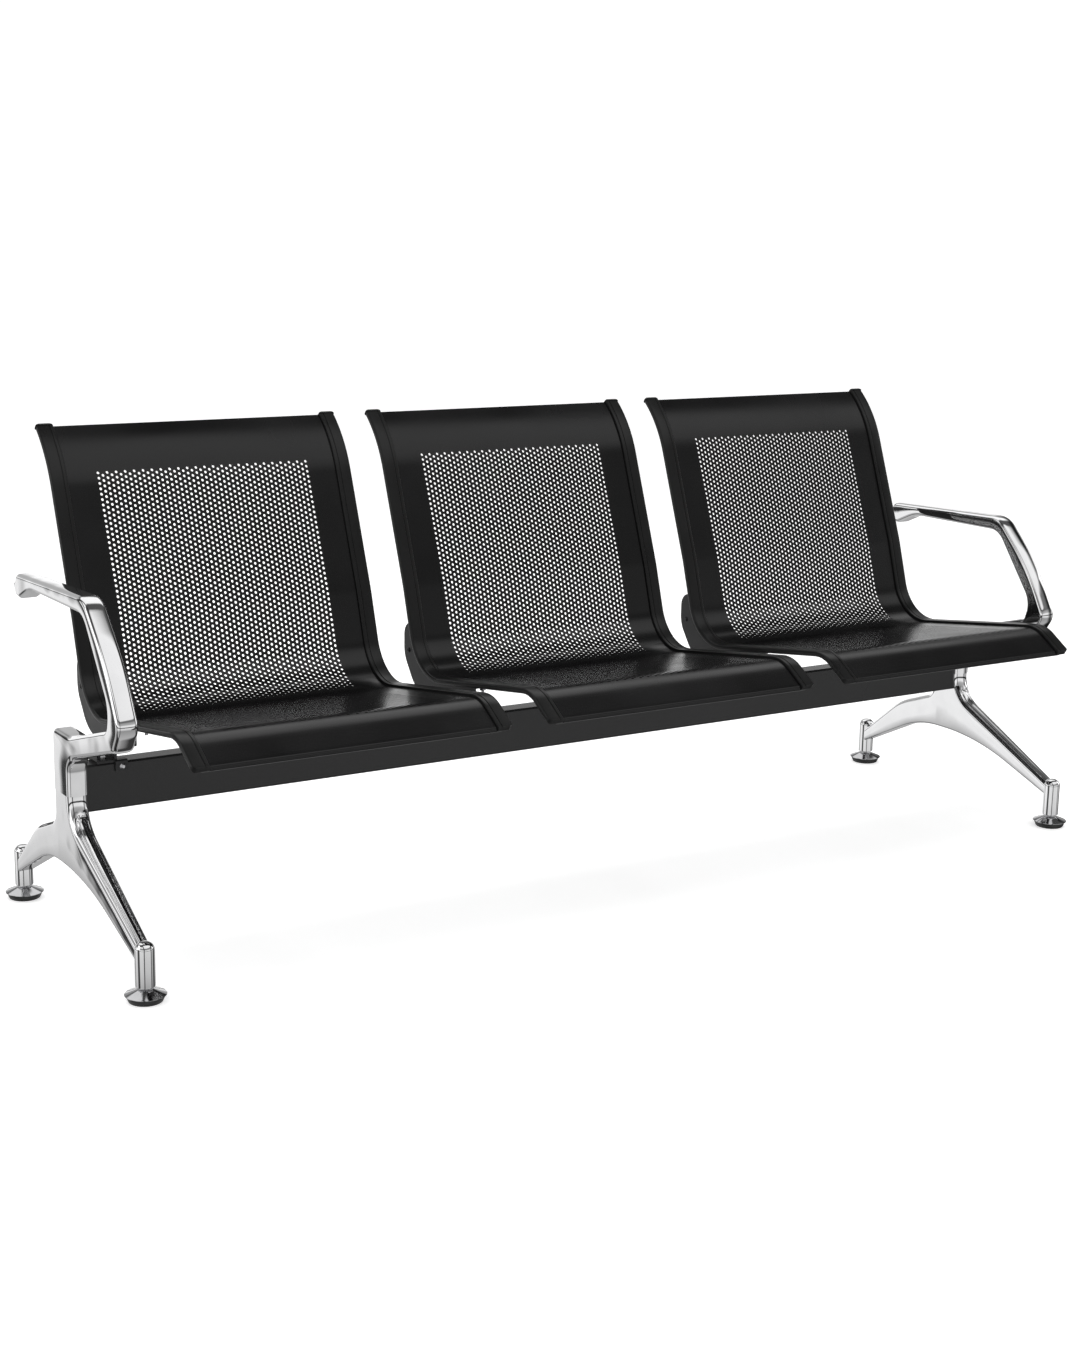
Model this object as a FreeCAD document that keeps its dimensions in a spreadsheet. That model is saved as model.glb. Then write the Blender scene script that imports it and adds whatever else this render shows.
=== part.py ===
import FreeCAD, Part
import math
import os

import Sketcher
from FreeCAD import Placement, Rotation, Vector

# A three-seat beam bench: bent steel seats with edge trims, on a black tube between two polished castings.
# X runs along the beam, -Y is the front and Z is up. The origin is on the floor under the middle of the bench.

os.makedirs("parts", exist_ok=True)
doc = FreeCAD.newDocument("BeamSeating")
sheet = doc.addObject("Spreadsheet::Sheet", "Sizes")

# Driving dimensions, in millimetres and degrees

DIMENSIONS = {
    # Layout along the beam
    "seat_pitch": 600,
    "leg_plane": 920,
    # Beam, a rectangular tube
    "beam_depth": 38,
    "beam_height": 76,
    "beam_wall": 2.5,
    "beam_corner": 4,
    "beam_middle": 23,
    "beam_base": 213.5,
    # Seat sheet, seen from the side: straight runs and the bends between them
    "sheet_thickness": 2,
    "sheet_bend_depth": 94,
    "sheet_bend_level": 342,
    "sheet_bend_radius": 90,
    "pan_angle": 8.4,
    "pan_run": 373,
    "lip_angle": 32,
    "lip_run": 69,
    "lip_radius": 65,
    "hem_depth": 9,
    "hem_radius": 4,
    "hem_return": 12,
    "hem_gap": 0.3,
    "opening_width": 38,
    "opening_pitch": 64,
    "opening_row": 62,
    "low_back_angle": 17.5,
    "low_back_run": 162,
    "lumbar_radius": 150,
    "back_angle": 21,
    "back_run": 268,
    "curl_angle": 50,
    "curl_run": 60,
    "curl_radius": 215,
    # Edge trims and their end caps
    "seat_width": 536,
    "trim_width": 28,
    "trim_thickness": 10,
    "trim_round": 4,
    "trim_edge": 1.5,
    "trim_overlap": 10,
    "trim_tip_round": 12,
    "trim_tail": 3,
    "trim_groove_offset": 6,
    "trim_groove": 1.4,
    "slot_clearance": 0.15,
    "cap_rise": 6,
    "cap_overhang": 1,
    "cap_round": 4,
    "cap_dome": 3,
    # Seat brackets, their feet on the beam and their fasteners
    "bracket_inset": 13,
    "bracket_thickness": 4,
    "bracket_gap": 0.3,
    "bracket_front": 82,
    "bracket_nose_level": 335,
    "bracket_rise": 15,
    "bracket_rear": 163,
    "bracket_top": 428,
    "bracket_round": 24,
    "bracket_nose_height": 50,
    "bracket_nose_round": 4,
    "bracket_neck_round": 12,
    "bracket_rear_height": 56,
    "bracket_rear_round": 50,
    "bracket_heel": 38,
    "bracket_heel_rise": 32.5,
    "bracket_heel_round": 60,
    "bracket_foot_rise": 6.5,
    "bracket_foot_round": 10,
    "web_pan_reach": 64,
    "web_pan_rise": 38,
    "web_back_reach": 6,
    "web_back_rise": 98,
    "flange_width": 34,
    "flange_back_run": 100,
    "flange_pan_run": 174,
    "foot_width": 29,
    "foot_thickness": 4,
    "lug_width": 16,
    "lug_drop": 14,
    "lug_round": 3,
    "rivet_head": 10,
    "rivet_rise": 2.6,
    "rivet_shank": 5,
    "rivet_rear_inset": 18,
    "rivet_rear_drop": 45,
    "rivet_nose_inset": 22,
    "rivet_nose_rise": 8,
    "stud_front_run": 160,
    "stud_middle_run": 105,
    "stud_back_run": 88,
    "stud_inset": 12,
    "stud_tail": 9,
    "nut_across": 10,
    "nut_height": 5,
    "bolt_across": 13,
    "bolt_head": 5.5,
    "bolt_shank": 8,
    "bolt_grip": 18,
    "screw_shank": 5,
    "screw_grip": 12,
    # Leg castings
    "casting_width": 34,
    "post_front": 10,
    "post_rear": 56,
    "seam_level": 246.5,
    "leg_slope": 25,
    "leg_bend_radius": 60,
    "toe_width": 25,
    "taper_start": 45,
    "taper_radius": 4000,
    "arch_level": 131,
    "arch_front_angle": 20,
    "arch_front_run": 73,
    "arch_front_radius": 500,
    "arch_rear_angle": 26,
    "arch_rear_run": 92,
    "arch_rear_radius": 250,
    "hip_run": 160,
    "hip_level": 157,
    "hip_radius": 150,
    "hip_drop": 22,
    "hip_rise": 39,
    "hip_bend": 25,
    "nose_round": 11,
    "socket_spread": 270,
    "socket_width": 30,
    "socket_base": 23,
    "socket_top": 92,
    "socket_dome": 12,
    "dome_overlap": 2,
    "spigot_reach": 45,
    "spigot_clearance": 0.3,
    # Armrest castings
    "arm_round": 7,
    "arm_top": 576,
    "arm_bar": 27,
    "arm_tail_top": 567,
    "arm_tail": 226,
    "arm_tip_lean": 12,
    "arm_tip_drop": 3,
    "arm_tip_round": 12,
    "arm_flare": 27,
    "arm_flare_run": 86,
    "arm_flare_radius": 120,
    "arm_heel": 20,
    "arm_heel_round": 9,
    "arm_shoulder": 98,
    "arm_shoulder_radius": 55,
    "arm_hollow": 95,
    "arm_hollow_radius": 42,
    "arm_knee": 182,
    "arm_knee_level": 492,
    "arm_knee_radius": 130,
    "arm_front": 234,
    "arm_front_level": 402,
    "arm_front_radius": 28,
    "arm_chin": 208,
    "arm_chin_level": 362,
    "arm_chin_radius": 22,
    "arm_neck_level": 307,
    "arm_neck_radius": 30,
    "arm_base_top": 345,
    "arm_base_round": 12,
    "arm_base_reach": 20,
    "arm_base_radius": 60,
    "arm_crook": 180,
    "arm_crook_level": 391,
    "arm_crook_radius": 13,
    "arm_crook_lean": 10,
    "arm_crook_rise": 34,
    "arm_crook_bend": 45,
    "arm_bolt_shank": 8,
    "arm_bolt_head": 13,
    "arm_bolt_head_height": 8,
    "arm_bolt_seat": 150,
    "arm_bolt_grip": 28,
    "arm_bolt_clearance": 0.2,
    # Levelling glides
    "disc_width": 63,
    "disc_rim": 1.6,
    "disc_level": 10,
    "disc_rise": 9.5,
    "hub_width": 23,
    "rubber_width": 59,
    "rubber_edge": 1.5,
    "stud_width": 10,
    "stud_seat": 13,
    "stud_reach": 40,
    "stud_clearance": 0.05,
    "bore_depth": 46,
}


class Size:
    # A number together with the cell expression that it comes from

    def __init__(self, value, text):
        self.value = value
        self.text = text

    def __add__(self, other):
        other = as_size(other)
        return Size(self.value + other.value, f"({self.text} + {other.text})")

    def __radd__(self, other):
        return as_size(other) + self

    def __sub__(self, other):
        other = as_size(other)
        return Size(self.value - other.value, f"({self.text} - {other.text})")

    def __rsub__(self, other):
        return as_size(other) - self

    def __mul__(self, other):
        other = as_size(other)
        return Size(self.value * other.value, f"({self.text} * {other.text})")

    def __rmul__(self, other):
        return as_size(other) * self

    def __truediv__(self, other):
        other = as_size(other)
        return Size(self.value / other.value, f"({self.text} / {other.text})")

    def __neg__(self):
        return Size(-self.value, f"(-1 * {self.text})")


def as_size(number):
    if isinstance(number, Size):
        return number
    return Size(float(number), f"({float(number):.9g})")


def sine(angle):
    angle = as_size(angle)
    return Size(math.sin(math.radians(angle.value)), f"sin({angle.text} * 1 deg)")


def cosine(angle):
    angle = as_size(angle)
    return Size(math.cos(math.radians(angle.value)), f"cos({angle.text} * 1 deg)")


def tangent(angle):
    angle = as_size(angle)
    return Size(math.tan(math.radians(angle.value)), f"tan({angle.text} * 1 deg)")


class Sizes:
    # The sheet's cells, each read by its alias

    def __init__(self, dimensions):
        for row, (alias, value) in enumerate(dimensions.items(), start=1):
            sheet.set(f"A{row}", alias.replace("_", " "))
            sheet.set(f"B{row}", str(value))
            sheet.setAlias(f"B{row}", alias)
            setattr(self, alias, Size(float(value), f"Sizes.{alias}"))


size = Sizes(DIMENSIONS)
doc.recompute()

parts = []


def new_body(label):
    body = doc.addObject("PartDesign::Body", label)
    body.Label = label
    parts.append(body)
    return body


def bind(thing, attribute, value):
    value = as_size(value)
    if "Sizes." in value.text:
        thing.setExpression(attribute, value.text)


def new_sketch(body, role, shift=(0, 0, 0), turn=0):
    # A sketch on one of the body's origin planes, shifted in the plane's axes and turned about its first axis
    sketch = body.newObject("Sketcher::SketchObject", "Sketch")
    plane = [item for item in body.Origin.OriginFeatures if item.Role == role][0]
    sketch.AttachmentSupport = [(plane, "")]
    sketch.MapMode = "FlatFace"
    shift = [as_size(value) for value in shift]
    turn = as_size(turn)
    base = Vector(*[value.value for value in shift])
    sketch.AttachmentOffset = Placement(base, Rotation(Vector(1, 0, 0), turn.value))
    for axis, value in zip("xyz", shift):
        bind(sketch, f"AttachmentOffset.Base.{axis}", value)
    bind(sketch, "AttachmentOffset.Rotation.Angle", turn)
    return sketch


def pin(sketch, kind, value, geometry, point=None):
    # One dimension of a sketch, measured from its origin unless it is a radius
    value = as_size(value)
    if kind == "Radius":
        index = sketch.addConstraint(Sketcher.Constraint(kind, geometry, value.value))
    elif abs(value.value) < 1e-9:
        axis = -2 if kind == "DistanceX" else -1
        sketch.addConstraint(Sketcher.Constraint("PointOnObject", geometry, point, axis))
        return
    else:
        index = sketch.addConstraint(Sketcher.Constraint(kind, -1, 1, geometry, point, value.value))
    if "Sizes." in value.text:
        sketch.setExpression(f"Constraints[{index}]", value.text)


def draw(sketch, corners, closed=True):
    # Straight runs between corners (across, up, radius), each corner rounded by its radius
    count = len(corners)
    points = [Vector(as_size(corner[0]).value, as_size(corner[1]).value, 0) for corner in corners]
    radii = [as_size(corner[2] if len(corner) > 2 else 0) for corner in corners]
    starts = list(points)
    ends = list(points)
    arcs = [None] * count
    left = [True] * count
    for i in range(count):
        at_end = not closed and i in (0, count - 1)
        if radii[i].value <= 0 or at_end:
            continue
        back = (points[i - 1] - points[i]).normalize()
        ahead = (points[(i + 1) % count] - points[i]).normalize()
        half = back.getAngle(ahead) / 2
        reach = radii[i].value / math.tan(half)
        ends[i] = points[i] + back * reach
        starts[i] = points[i] + ahead * reach
        inward = (back + ahead).normalize()
        middle = points[i] + inward * (radii[i].value / math.sin(half) - radii[i].value)
        left[i] = ahead.cross(back).z > 0
        arcs[i] = Part.Arc(ends[i], middle, starts[i]) if left[i] else Part.Arc(starts[i], middle, ends[i])
    lines = []
    for i in range(count if closed else count - 1):
        line = Part.LineSegment(starts[i], ends[(i + 1) % count])
        lines.append(sketch.addGeometry(line, False))
    for i in range(count):
        before = lines[i - 1] if closed or i > 0 else None
        after = lines[i] if i < len(lines) else None
        if arcs[i] is not None:
            curve = sketch.addGeometry(arcs[i], False)
            head, tail = (1, 2) if left[i] else (2, 1)
            sketch.addConstraint(Sketcher.Constraint("Tangent", before, 2, curve, head))
            sketch.addConstraint(Sketcher.Constraint("Tangent", curve, tail, after, 1))
            pin(sketch, "Radius", radii[i], curve)
            spot, end = sketch.addGeometry(Part.Point(points[i]), True), 1
            sketch.addConstraint(Sketcher.Constraint("PointOnObject", spot, end, before))
            sketch.addConstraint(Sketcher.Constraint("PointOnObject", spot, end, after))
        elif before is None:
            spot, end = after, 1
        else:
            spot, end = before, 2
            if after is not None:
                sketch.addConstraint(Sketcher.Constraint("Coincident", before, 2, after, 1))
        pin(sketch, "DistanceX", corners[i][0], spot, end)
        pin(sketch, "DistanceY", corners[i][1], spot, end)


def draw_circle(sketch, across, up, width):
    centre = Vector(as_size(across).value, as_size(up).value, 0)
    radius = as_size(width) / 2
    circle = sketch.addGeometry(Part.Circle(centre, Vector(0, 0, 1), radius.value), False)
    pin(sketch, "Radius", radius, circle)
    pin(sketch, "DistanceX", across, circle, 3)
    pin(sketch, "DistanceY", up, circle, 3)


def check_built(feature):
    doc.recompute()
    failed = "Invalid" in feature.State or "Error" in feature.State
    if failed or feature.Shape.isNull() or not feature.Shape.isValid():
        raise RuntimeError(f"{feature.Label} did not build")


def pad(body, sketch, length, midplane=False, backwards=False):
    feature = body.newObject("PartDesign::Pad", "Pad")
    feature.Profile = sketch
    feature.Midplane = midplane
    feature.Reversed = backwards
    feature.Length = as_size(length).value
    bind(feature, "Length", length)
    check_built(feature)
    return feature


def pocket(body, sketch, length, midplane=False, backwards=False):
    before = body.Shape.Volume
    feature = body.newObject("PartDesign::Pocket", "Pocket")
    feature.Profile = sketch
    feature.Midplane = midplane
    feature.Reversed = backwards
    feature.Length = as_size(length).value
    bind(feature, "Length", length)
    check_built(feature)
    if feature.Shape.Volume > before - 1e-3:
        raise RuntimeError(f"{body.Label}: a pocket cuts nothing")
    return feature


def pipe(body, profile, path, cut=False):
    kind = "PartDesign::SubtractivePipe" if cut else "PartDesign::AdditivePipe"
    feature = body.newObject(kind, "Pipe")
    feature.Profile = profile
    feature.Spine = (path, [])
    check_built(feature)
    return feature


def revolve(body, corners):
    # A full turn of a half profile (out, up, radius) about the body's upright axis
    sketch = new_sketch(body, "XZ_Plane")
    draw(sketch, corners)
    feature = body.newObject("PartDesign::Revolution", "Revolution")
    feature.Profile = sketch
    feature.ReferenceAxis = (sketch, ["V_Axis"])
    feature.Angle = 360
    check_built(feature)
    return feature


def fillet(body, radius, chosen):
    # Rounds those edges of the body for which chosen(edge) is true
    base = body.Tip
    names = [f"Edge{i + 1}" for i, edge in enumerate(base.Shape.Edges) if chosen(edge)]
    feature = body.newObject("PartDesign::Fillet", "Fillet")
    feature.Base = (base, names)
    feature.Radius = as_size(radius).value
    bind(feature, "Radius", radius)
    check_built(feature)
    return feature


def further(spot, turn, distance):
    # A spot moved along the upright direction turned about X
    return spot[0], spot[1] - distance * sine(turn), spot[2] + distance * cosine(turn)


def set_down(item, spot, turn):
    spot = [as_size(value) for value in spot]
    turn = as_size(turn)
    base = Vector(*[value.value for value in spot])
    item.Placement = Placement(base, Rotation(Vector(1, 0, 0), turn.value))
    for axis, value in zip("xyz", spot):
        bind(item, f"Placement.Base.{axis}", value)
    bind(item, "Placement.Rotation.Angle", turn)


def primitive(kind, name, dimensions, spot, turn):
    item = doc.addObject(kind, name)
    for attribute, value in dimensions.items():
        setattr(item, attribute, value.value)
        bind(item, attribute, value)
    set_down(item, spot, turn)
    return item


def shank(width, length, spot, turn):
    # A plain rod that goes down from the spot
    dimensions = {"Radius": width / 2, "Height": length}
    return primitive("Part::Cylinder", "Shank", dimensions, further(spot, turn, -length), turn)


def domed_head(spot, turn):
    dimensions = {"Radius1": size.rivet_head / 2, "Radius2": size.rivet_head / 4, "Height": size.rivet_rise}
    return primitive("Part::Cone", "Head", dimensions, spot, turn)


def hexagon(across, height, spot, turn):
    dimensions = {"Circumradius": across / 2 / cosine(30), "Height": height}
    nut = primitive("Part::Prism", "Hexagon", dimensions, spot, turn)
    nut.Polygon = 6
    return nut


def join(label, items):
    group = doc.addObject("Part::MultiFuse", label)
    group.Label = label
    group.Shapes = items
    check_built(group)
    parts.append(group)
    return group


def rectangle(left, bottom, right, top, radius=0):
    return [(left, bottom, radius), (right, bottom, radius), (right, top, radius), (left, top, radius)]


# Faces and levels that several pieces share

post_face = size.casting_width / 2
beam_end = size.leg_plane - post_face
beam_front = size.beam_middle - size.beam_depth / 2
beam_rear = size.beam_middle + size.beam_depth / 2
beam_top = size.beam_base + size.beam_height
seat_half = size.seat_width / 2
trim_inner = seat_half - size.trim_width
sheet_half = trim_inner + size.trim_overlap
trim_half = size.trim_thickness / 2
under_trim = trim_half + size.bracket_gap
web_outer = seat_half - size.bracket_inset
web_inner = web_outer - size.bracket_thickness
foot_bolt_line = web_outer + size.foot_width / 2
lug_screw_line = web_inner - size.lug_width / 2
lug_face = beam_front - size.foot_thickness
lug_screw_level = beam_top - size.lug_drop / 2
spigot_screw_insets = (size.spigot_reach / 4, size.spigot_reach * 3 / 4)
post_middle = (size.post_rear - size.post_front) / 2
SEATS = (-1, 0, 1)
SIDES = (-1, 1)
# How near two places are taken to be the same
NEAR = 0.01
side_names = {-1: "left", 1: "right"}


# Seat sheet path, from its top over the back, the bend and the pan to the lip


def along(start, run, angle, forward=False):
    # The point at a run from start, leaning back from upright by the angle, or forward and down from level
    if forward:
        return start[0] - run * cosine(angle), start[1] - run * sine(angle)
    return start[0] + run * sine(angle), start[1] + run * cosine(angle)


BEND = (size.sheet_bend_depth, size.sheet_bend_level)
LUMBAR = along(BEND, size.low_back_run, size.low_back_angle)
CURL = along(LUMBAR, size.back_run, size.back_angle)
SEAT_TOP = along(CURL, size.curl_run, size.curl_angle)
CREST = along(BEND, size.pan_run, -size.pan_angle, forward=True)
LIP_END = along(CREST, size.lip_run, size.lip_angle, forward=True)
TRIM_TIP = along(LIP_END, size.trim_tail, size.lip_angle, forward=True)


# Rows of the grid of openings, from the top down

ROWS_ON_BACK = 4
ROWS_ON_LOW_BACK = 1
ROWS_IN_BEND = 2
ROWS_ON_PAN = 5
OPENINGS_ACROSS = 6


def seat_path(body, ending):
    path = new_sketch(body, "YZ_Plane")
    corners = [
        SEAT_TOP,
        (*CURL, size.curl_radius),
        (*LUMBAR, size.lumbar_radius),
        (*BEND, size.sheet_bend_radius),
        (*CREST, size.lip_radius),
    ]
    draw(path, corners + ending, closed=False)
    doc.recompute()
    return path


def square_to_path(body, start, angle):
    # A sketch across a path that begins at start and runs down at the angle; up in it is the sitter's side
    return new_sketch(body, "XZ_Plane", (0, start[1], -start[0]), 90 - angle)


def make_shell(label):
    body = new_body(label)
    under = along(LIP_END, -size.hem_depth, -size.lip_angle)
    inside = along(under, -size.hem_return, size.lip_angle, forward=True)
    hem = [(*LIP_END, size.hem_radius), (*under, size.hem_radius), inside]
    path = seat_path(body, hem)
    half = size.sheet_thickness / 2
    strip = square_to_path(body, SEAT_TOP, size.curl_angle)
    draw(strip, rectangle(-sheet_half, -half, sheet_half, half))
    pipe(body, strip, path)
    # The hem ends at the trims, where the flat sheet stops short of it
    notch = new_sketch(body, "XY_Plane", (0, LIP_END[0], LIP_END[1]), size.lip_angle)
    for side in SIDES:
        left, right = sorted((side * (trim_inner - size.hem_gap), side * seat_half), key=lambda value: value.value)
        draw(notch, rectangle(left, -2 * size.hem_return, right, 1.5 * size.hem_radius))
    pocket(body, notch, 4 * size.hem_return, midplane=True)
    cut_openings(body)
    return body


def opening_rows():
    # The grid's rows as (depth, level, turn), each square to the sheet and a row's pitch from the next
    bend_angle = 90 - size.low_back_angle + size.pan_angle
    reach = size.sheet_bend_radius * tangent(bend_angle / 2)
    bend_length = size.sheet_bend_radius * bend_angle * math.pi / 180
    lead = (bend_length - (ROWS_IN_BEND - 1) * size.opening_row) / 2
    first = reach + size.opening_row - lead
    rows = []
    for row in range(ROWS_ON_BACK):
        run = first + (ROWS_ON_LOW_BACK + row) * size.opening_row - size.low_back_run
        rows.append((*along(LUMBAR, run, size.back_angle), 90 - size.back_angle))
    for row in range(ROWS_ON_LOW_BACK):
        run = first + row * size.opening_row
        rows.append((*along(BEND, run, size.low_back_angle), 90 - size.low_back_angle))
    heel = along(BEND, reach, size.low_back_angle)
    centre = (
        heel[0] - size.sheet_bend_radius * cosine(size.low_back_angle),
        heel[1] + size.sheet_bend_radius * sine(size.low_back_angle),
    )
    for row in range(ROWS_IN_BEND):
        lean = size.low_back_angle + (lead + row * size.opening_row) / size.sheet_bend_radius * 180 / math.pi
        depth = centre[0] + size.sheet_bend_radius * cosine(lean)
        level = centre[1] - size.sheet_bend_radius * sine(lean)
        rows.append((depth, level, 90 - lean))
    for row in range(ROWS_ON_PAN):
        run = first + row * size.opening_row
        rows.append((*along(BEND, run, -size.pan_angle, forward=True), -size.pan_angle))
    return rows


def cut_openings(body):
    # A plain grid of openings stands in for the thousands of small round holes of the sheet
    half = size.opening_width / 2
    span = (OPENINGS_ACROSS - 1) * size.opening_pitch
    column = []
    for depth, level, turn in opening_rows():
        sketch = new_sketch(body, "XY_Plane", (0, depth, level), turn)
        draw(sketch, rectangle(-span / 2 - half, -half, half - span / 2, half))
        column.append(pocket(body, sketch, size.opening_width, midplane=True))
    pattern = body.newObject("PartDesign::LinearPattern", "Openings")
    pattern.Originals = column
    pattern.Direction = (column[0].Profile[0], ["H_Axis"])
    pattern.Length = span.value
    bind(pattern, "Length", span)
    pattern.Occurrences = OPENINGS_ACROSS
    body.Tip = pattern
    check_built(pattern)


def make_trim(label, side):
    body = new_body(label)
    path = seat_path(body, [TRIM_TIP])
    inner = side * trim_inner
    outer = side * seat_half
    slot_end = side * (sheet_half + size.slot_clearance)
    slot = size.sheet_thickness / 2 + size.slot_clearance
    groove = inner + side * size.trim_groove_offset
    groove_end = groove + side * size.trim_groove
    groove_floor = trim_half - size.trim_groove
    section = square_to_path(body, SEAT_TOP, size.curl_angle)
    draw(section, [
        (inner, slot),
        (inner, trim_half, size.trim_edge),
        (groove, trim_half),
        (groove, groove_floor),
        (groove_end, groove_floor),
        (groove_end, trim_half),
        (outer, trim_half, size.trim_round),
        (outer, -trim_half, size.trim_round),
        (inner, -trim_half),
        (inner, -slot),
        (slot_end, -slot),
        (slot_end, slot),
    ])
    pipe(body, section, path)
    # The tip's outer corner is rounded in the plane of the lip
    corner = new_sketch(body, "XY_Plane", (0, TRIM_TIP[0], TRIM_TIP[1]), size.lip_angle)
    beyond = side * (seat_half + size.trim_round)
    start = side * (seat_half - 2 * size.trim_tip_round)
    draw(corner, [
        (start, -size.trim_round),
        (beyond, -size.trim_round),
        (beyond, 2 * size.trim_tip_round),
        (outer, 2 * size.trim_tip_round),
        (outer, 0, size.trim_tip_round),
        (start, 0),
    ])
    pocket(body, corner, 3 * size.trim_thickness, midplane=True)
    return body


def make_cap(label, side):
    # A domed plug that closes the top end of a trim
    body = new_body(label)
    middle = side * (seat_half - size.trim_width / 2)
    half_width = size.trim_width / 2 + size.cap_overhang
    half_depth = trim_half + size.cap_overhang
    section = square_to_path(body, SEAT_TOP, size.curl_angle)
    draw(section, rectangle(
        middle - half_width, -half_depth, middle + half_width, half_depth, size.cap_round,
    ))
    pad(body, section, size.cap_rise, backwards=True)
    start = Vector(0, SEAT_TOP[0].value, SEAT_TOP[1].value)
    outward = Vector(0, sine(size.curl_angle).value, cosine(size.curl_angle).value)

    def on_free_end(edge):
        rises = [(vertex.Point - start).dot(outward) for vertex in edge.Vertexes]
        return min(rises) > size.cap_rise.value - NEAR

    fillet(body, size.cap_dome, on_free_end)
    return body


# Seat brackets: a web beside the bend, a flange under the sheet, a foot on the beam and a lug before it

SEAT_STUDS = (
    (along(BEND, size.stud_front_run, -size.pan_angle, forward=True), -size.pan_angle),
    (along(BEND, size.stud_middle_run, -size.pan_angle, forward=True), -size.pan_angle),
    (along(BEND, size.stud_back_run, size.low_back_angle), 90 - size.low_back_angle),
)
stud_line = web_inner - size.flange_width + size.stud_inset
WEB_RIVETS = (
    (size.bracket_rear - size.rivet_rear_inset, size.bracket_top - size.rivet_rear_drop),
    (size.rivet_nose_inset - size.bracket_front, size.bracket_nose_level + size.rivet_nose_rise),
)


def make_bracket(label, side):
    body = new_body(label)
    right = side > 0
    web = new_sketch(body, "YZ_Plane", (0, 0, side * web_outer))
    underside = size.bracket_nose_level - (beam_front + size.bracket_front) * tangent(size.bracket_rise)
    draw(web, [
        (beam_front, beam_top),
        (beam_front, underside, size.bracket_neck_round),
        (-size.bracket_front, size.bracket_nose_level, size.bracket_nose_round),
        (-size.bracket_front, size.bracket_nose_level + size.bracket_nose_height),
        (BEND[0] - size.web_pan_reach, BEND[1] + size.web_pan_rise),
        (BEND[0] + size.web_back_reach, BEND[1] + size.web_back_rise),
        (size.bracket_rear, size.bracket_top, size.bracket_round),
        (size.bracket_rear, size.bracket_top - size.bracket_rear_height, size.bracket_rear_round),
        (size.bracket_rear - size.bracket_heel, beam_top + size.bracket_heel_rise, size.bracket_heel_round),
        (beam_rear, beam_top + size.bracket_foot_rise, size.bracket_foot_round),
        (beam_rear, beam_top),
    ])
    pad(body, web, size.bracket_thickness, backwards=right)
    # The flange lies along the bend, from low on the back to the middle of the pan
    upper = along(BEND, size.flange_back_run, size.low_back_angle)
    lower = along(BEND, size.flange_pan_run, -size.pan_angle, forward=True)
    spine = new_sketch(body, "YZ_Plane")
    draw(spine, [upper, (*BEND, size.sheet_bend_radius), lower], closed=False)
    doc.recompute()
    flange = square_to_path(body, upper, size.low_back_angle)
    reach = (web_outer, web_inner - size.flange_width)
    left_end, right_end = sorted((side * value for value in reach), key=lambda value: value.value)
    draw(flange, rectangle(left_end, -under_trim - size.bracket_thickness, right_end, -under_trim))
    pipe(body, flange, spine)
    foot = new_sketch(body, "YZ_Plane", (0, 0, side * (web_outer + size.foot_width)))
    draw(foot, rectangle(beam_front, beam_top, beam_rear, beam_top + size.foot_thickness))
    pad(body, foot, size.foot_width + size.bracket_thickness, backwards=right)
    lug = new_sketch(body, "YZ_Plane", (0, 0, side * web_outer))
    lip = beam_front + 2 * size.foot_thickness
    draw(lug, [
        (lug_face, beam_top - size.lug_drop),
        (beam_front, beam_top - size.lug_drop),
        (beam_front, beam_top),
        (lip, beam_top),
        (lip, beam_top + size.foot_thickness),
        (lug_face, beam_top + size.foot_thickness, size.lug_round),
    ])
    pad(body, lug, size.bracket_thickness + size.lug_width, backwards=right)
    # All above the trim's underside is cut away, so that the web follows the bend
    path = seat_path(body, [TRIM_TIP])
    clear = square_to_path(body, SEAT_TOP, size.curl_angle)
    reach = (web_inner - 2 * size.flange_width, seat_half + size.trim_width)
    left_end, right_end = sorted((side * value for value in reach), key=lambda value: value.value)
    draw(clear, rectangle(left_end, -under_trim, right_end, size.sheet_bend_radius * 2 / 3))
    pipe(body, clear, path, cut=True)
    drill_bracket(body, side)
    return body


def drill_bracket(body, side):
    right = side > 0
    holes = new_sketch(body, "YZ_Plane", (0, 0, side * web_outer))
    for depth, level in WEB_RIVETS:
        draw_circle(holes, depth, level, size.rivet_shank)
    pocket(body, holes, size.bracket_thickness, backwards=not right)
    hole = new_sketch(body, "XY_Plane", (0, 0, beam_top + size.foot_thickness))
    draw_circle(hole, side * foot_bolt_line, size.beam_middle, size.bolt_shank)
    pocket(body, hole, size.foot_thickness)
    hole = new_sketch(body, "XZ_Plane", (0, 0, -lug_face))
    draw_circle(hole, side * lug_screw_line, lug_screw_level, size.screw_shank)
    pocket(body, hole, size.foot_thickness)
    for (depth, level), turn in SEAT_STUDS:
        hole = new_sketch(body, "XY_Plane", (0, depth, level), turn)
        draw_circle(hole, side * stud_line, 0, size.rivet_shank)
        pocket(body, hole, under_trim + 2 * size.bracket_thickness)


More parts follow.
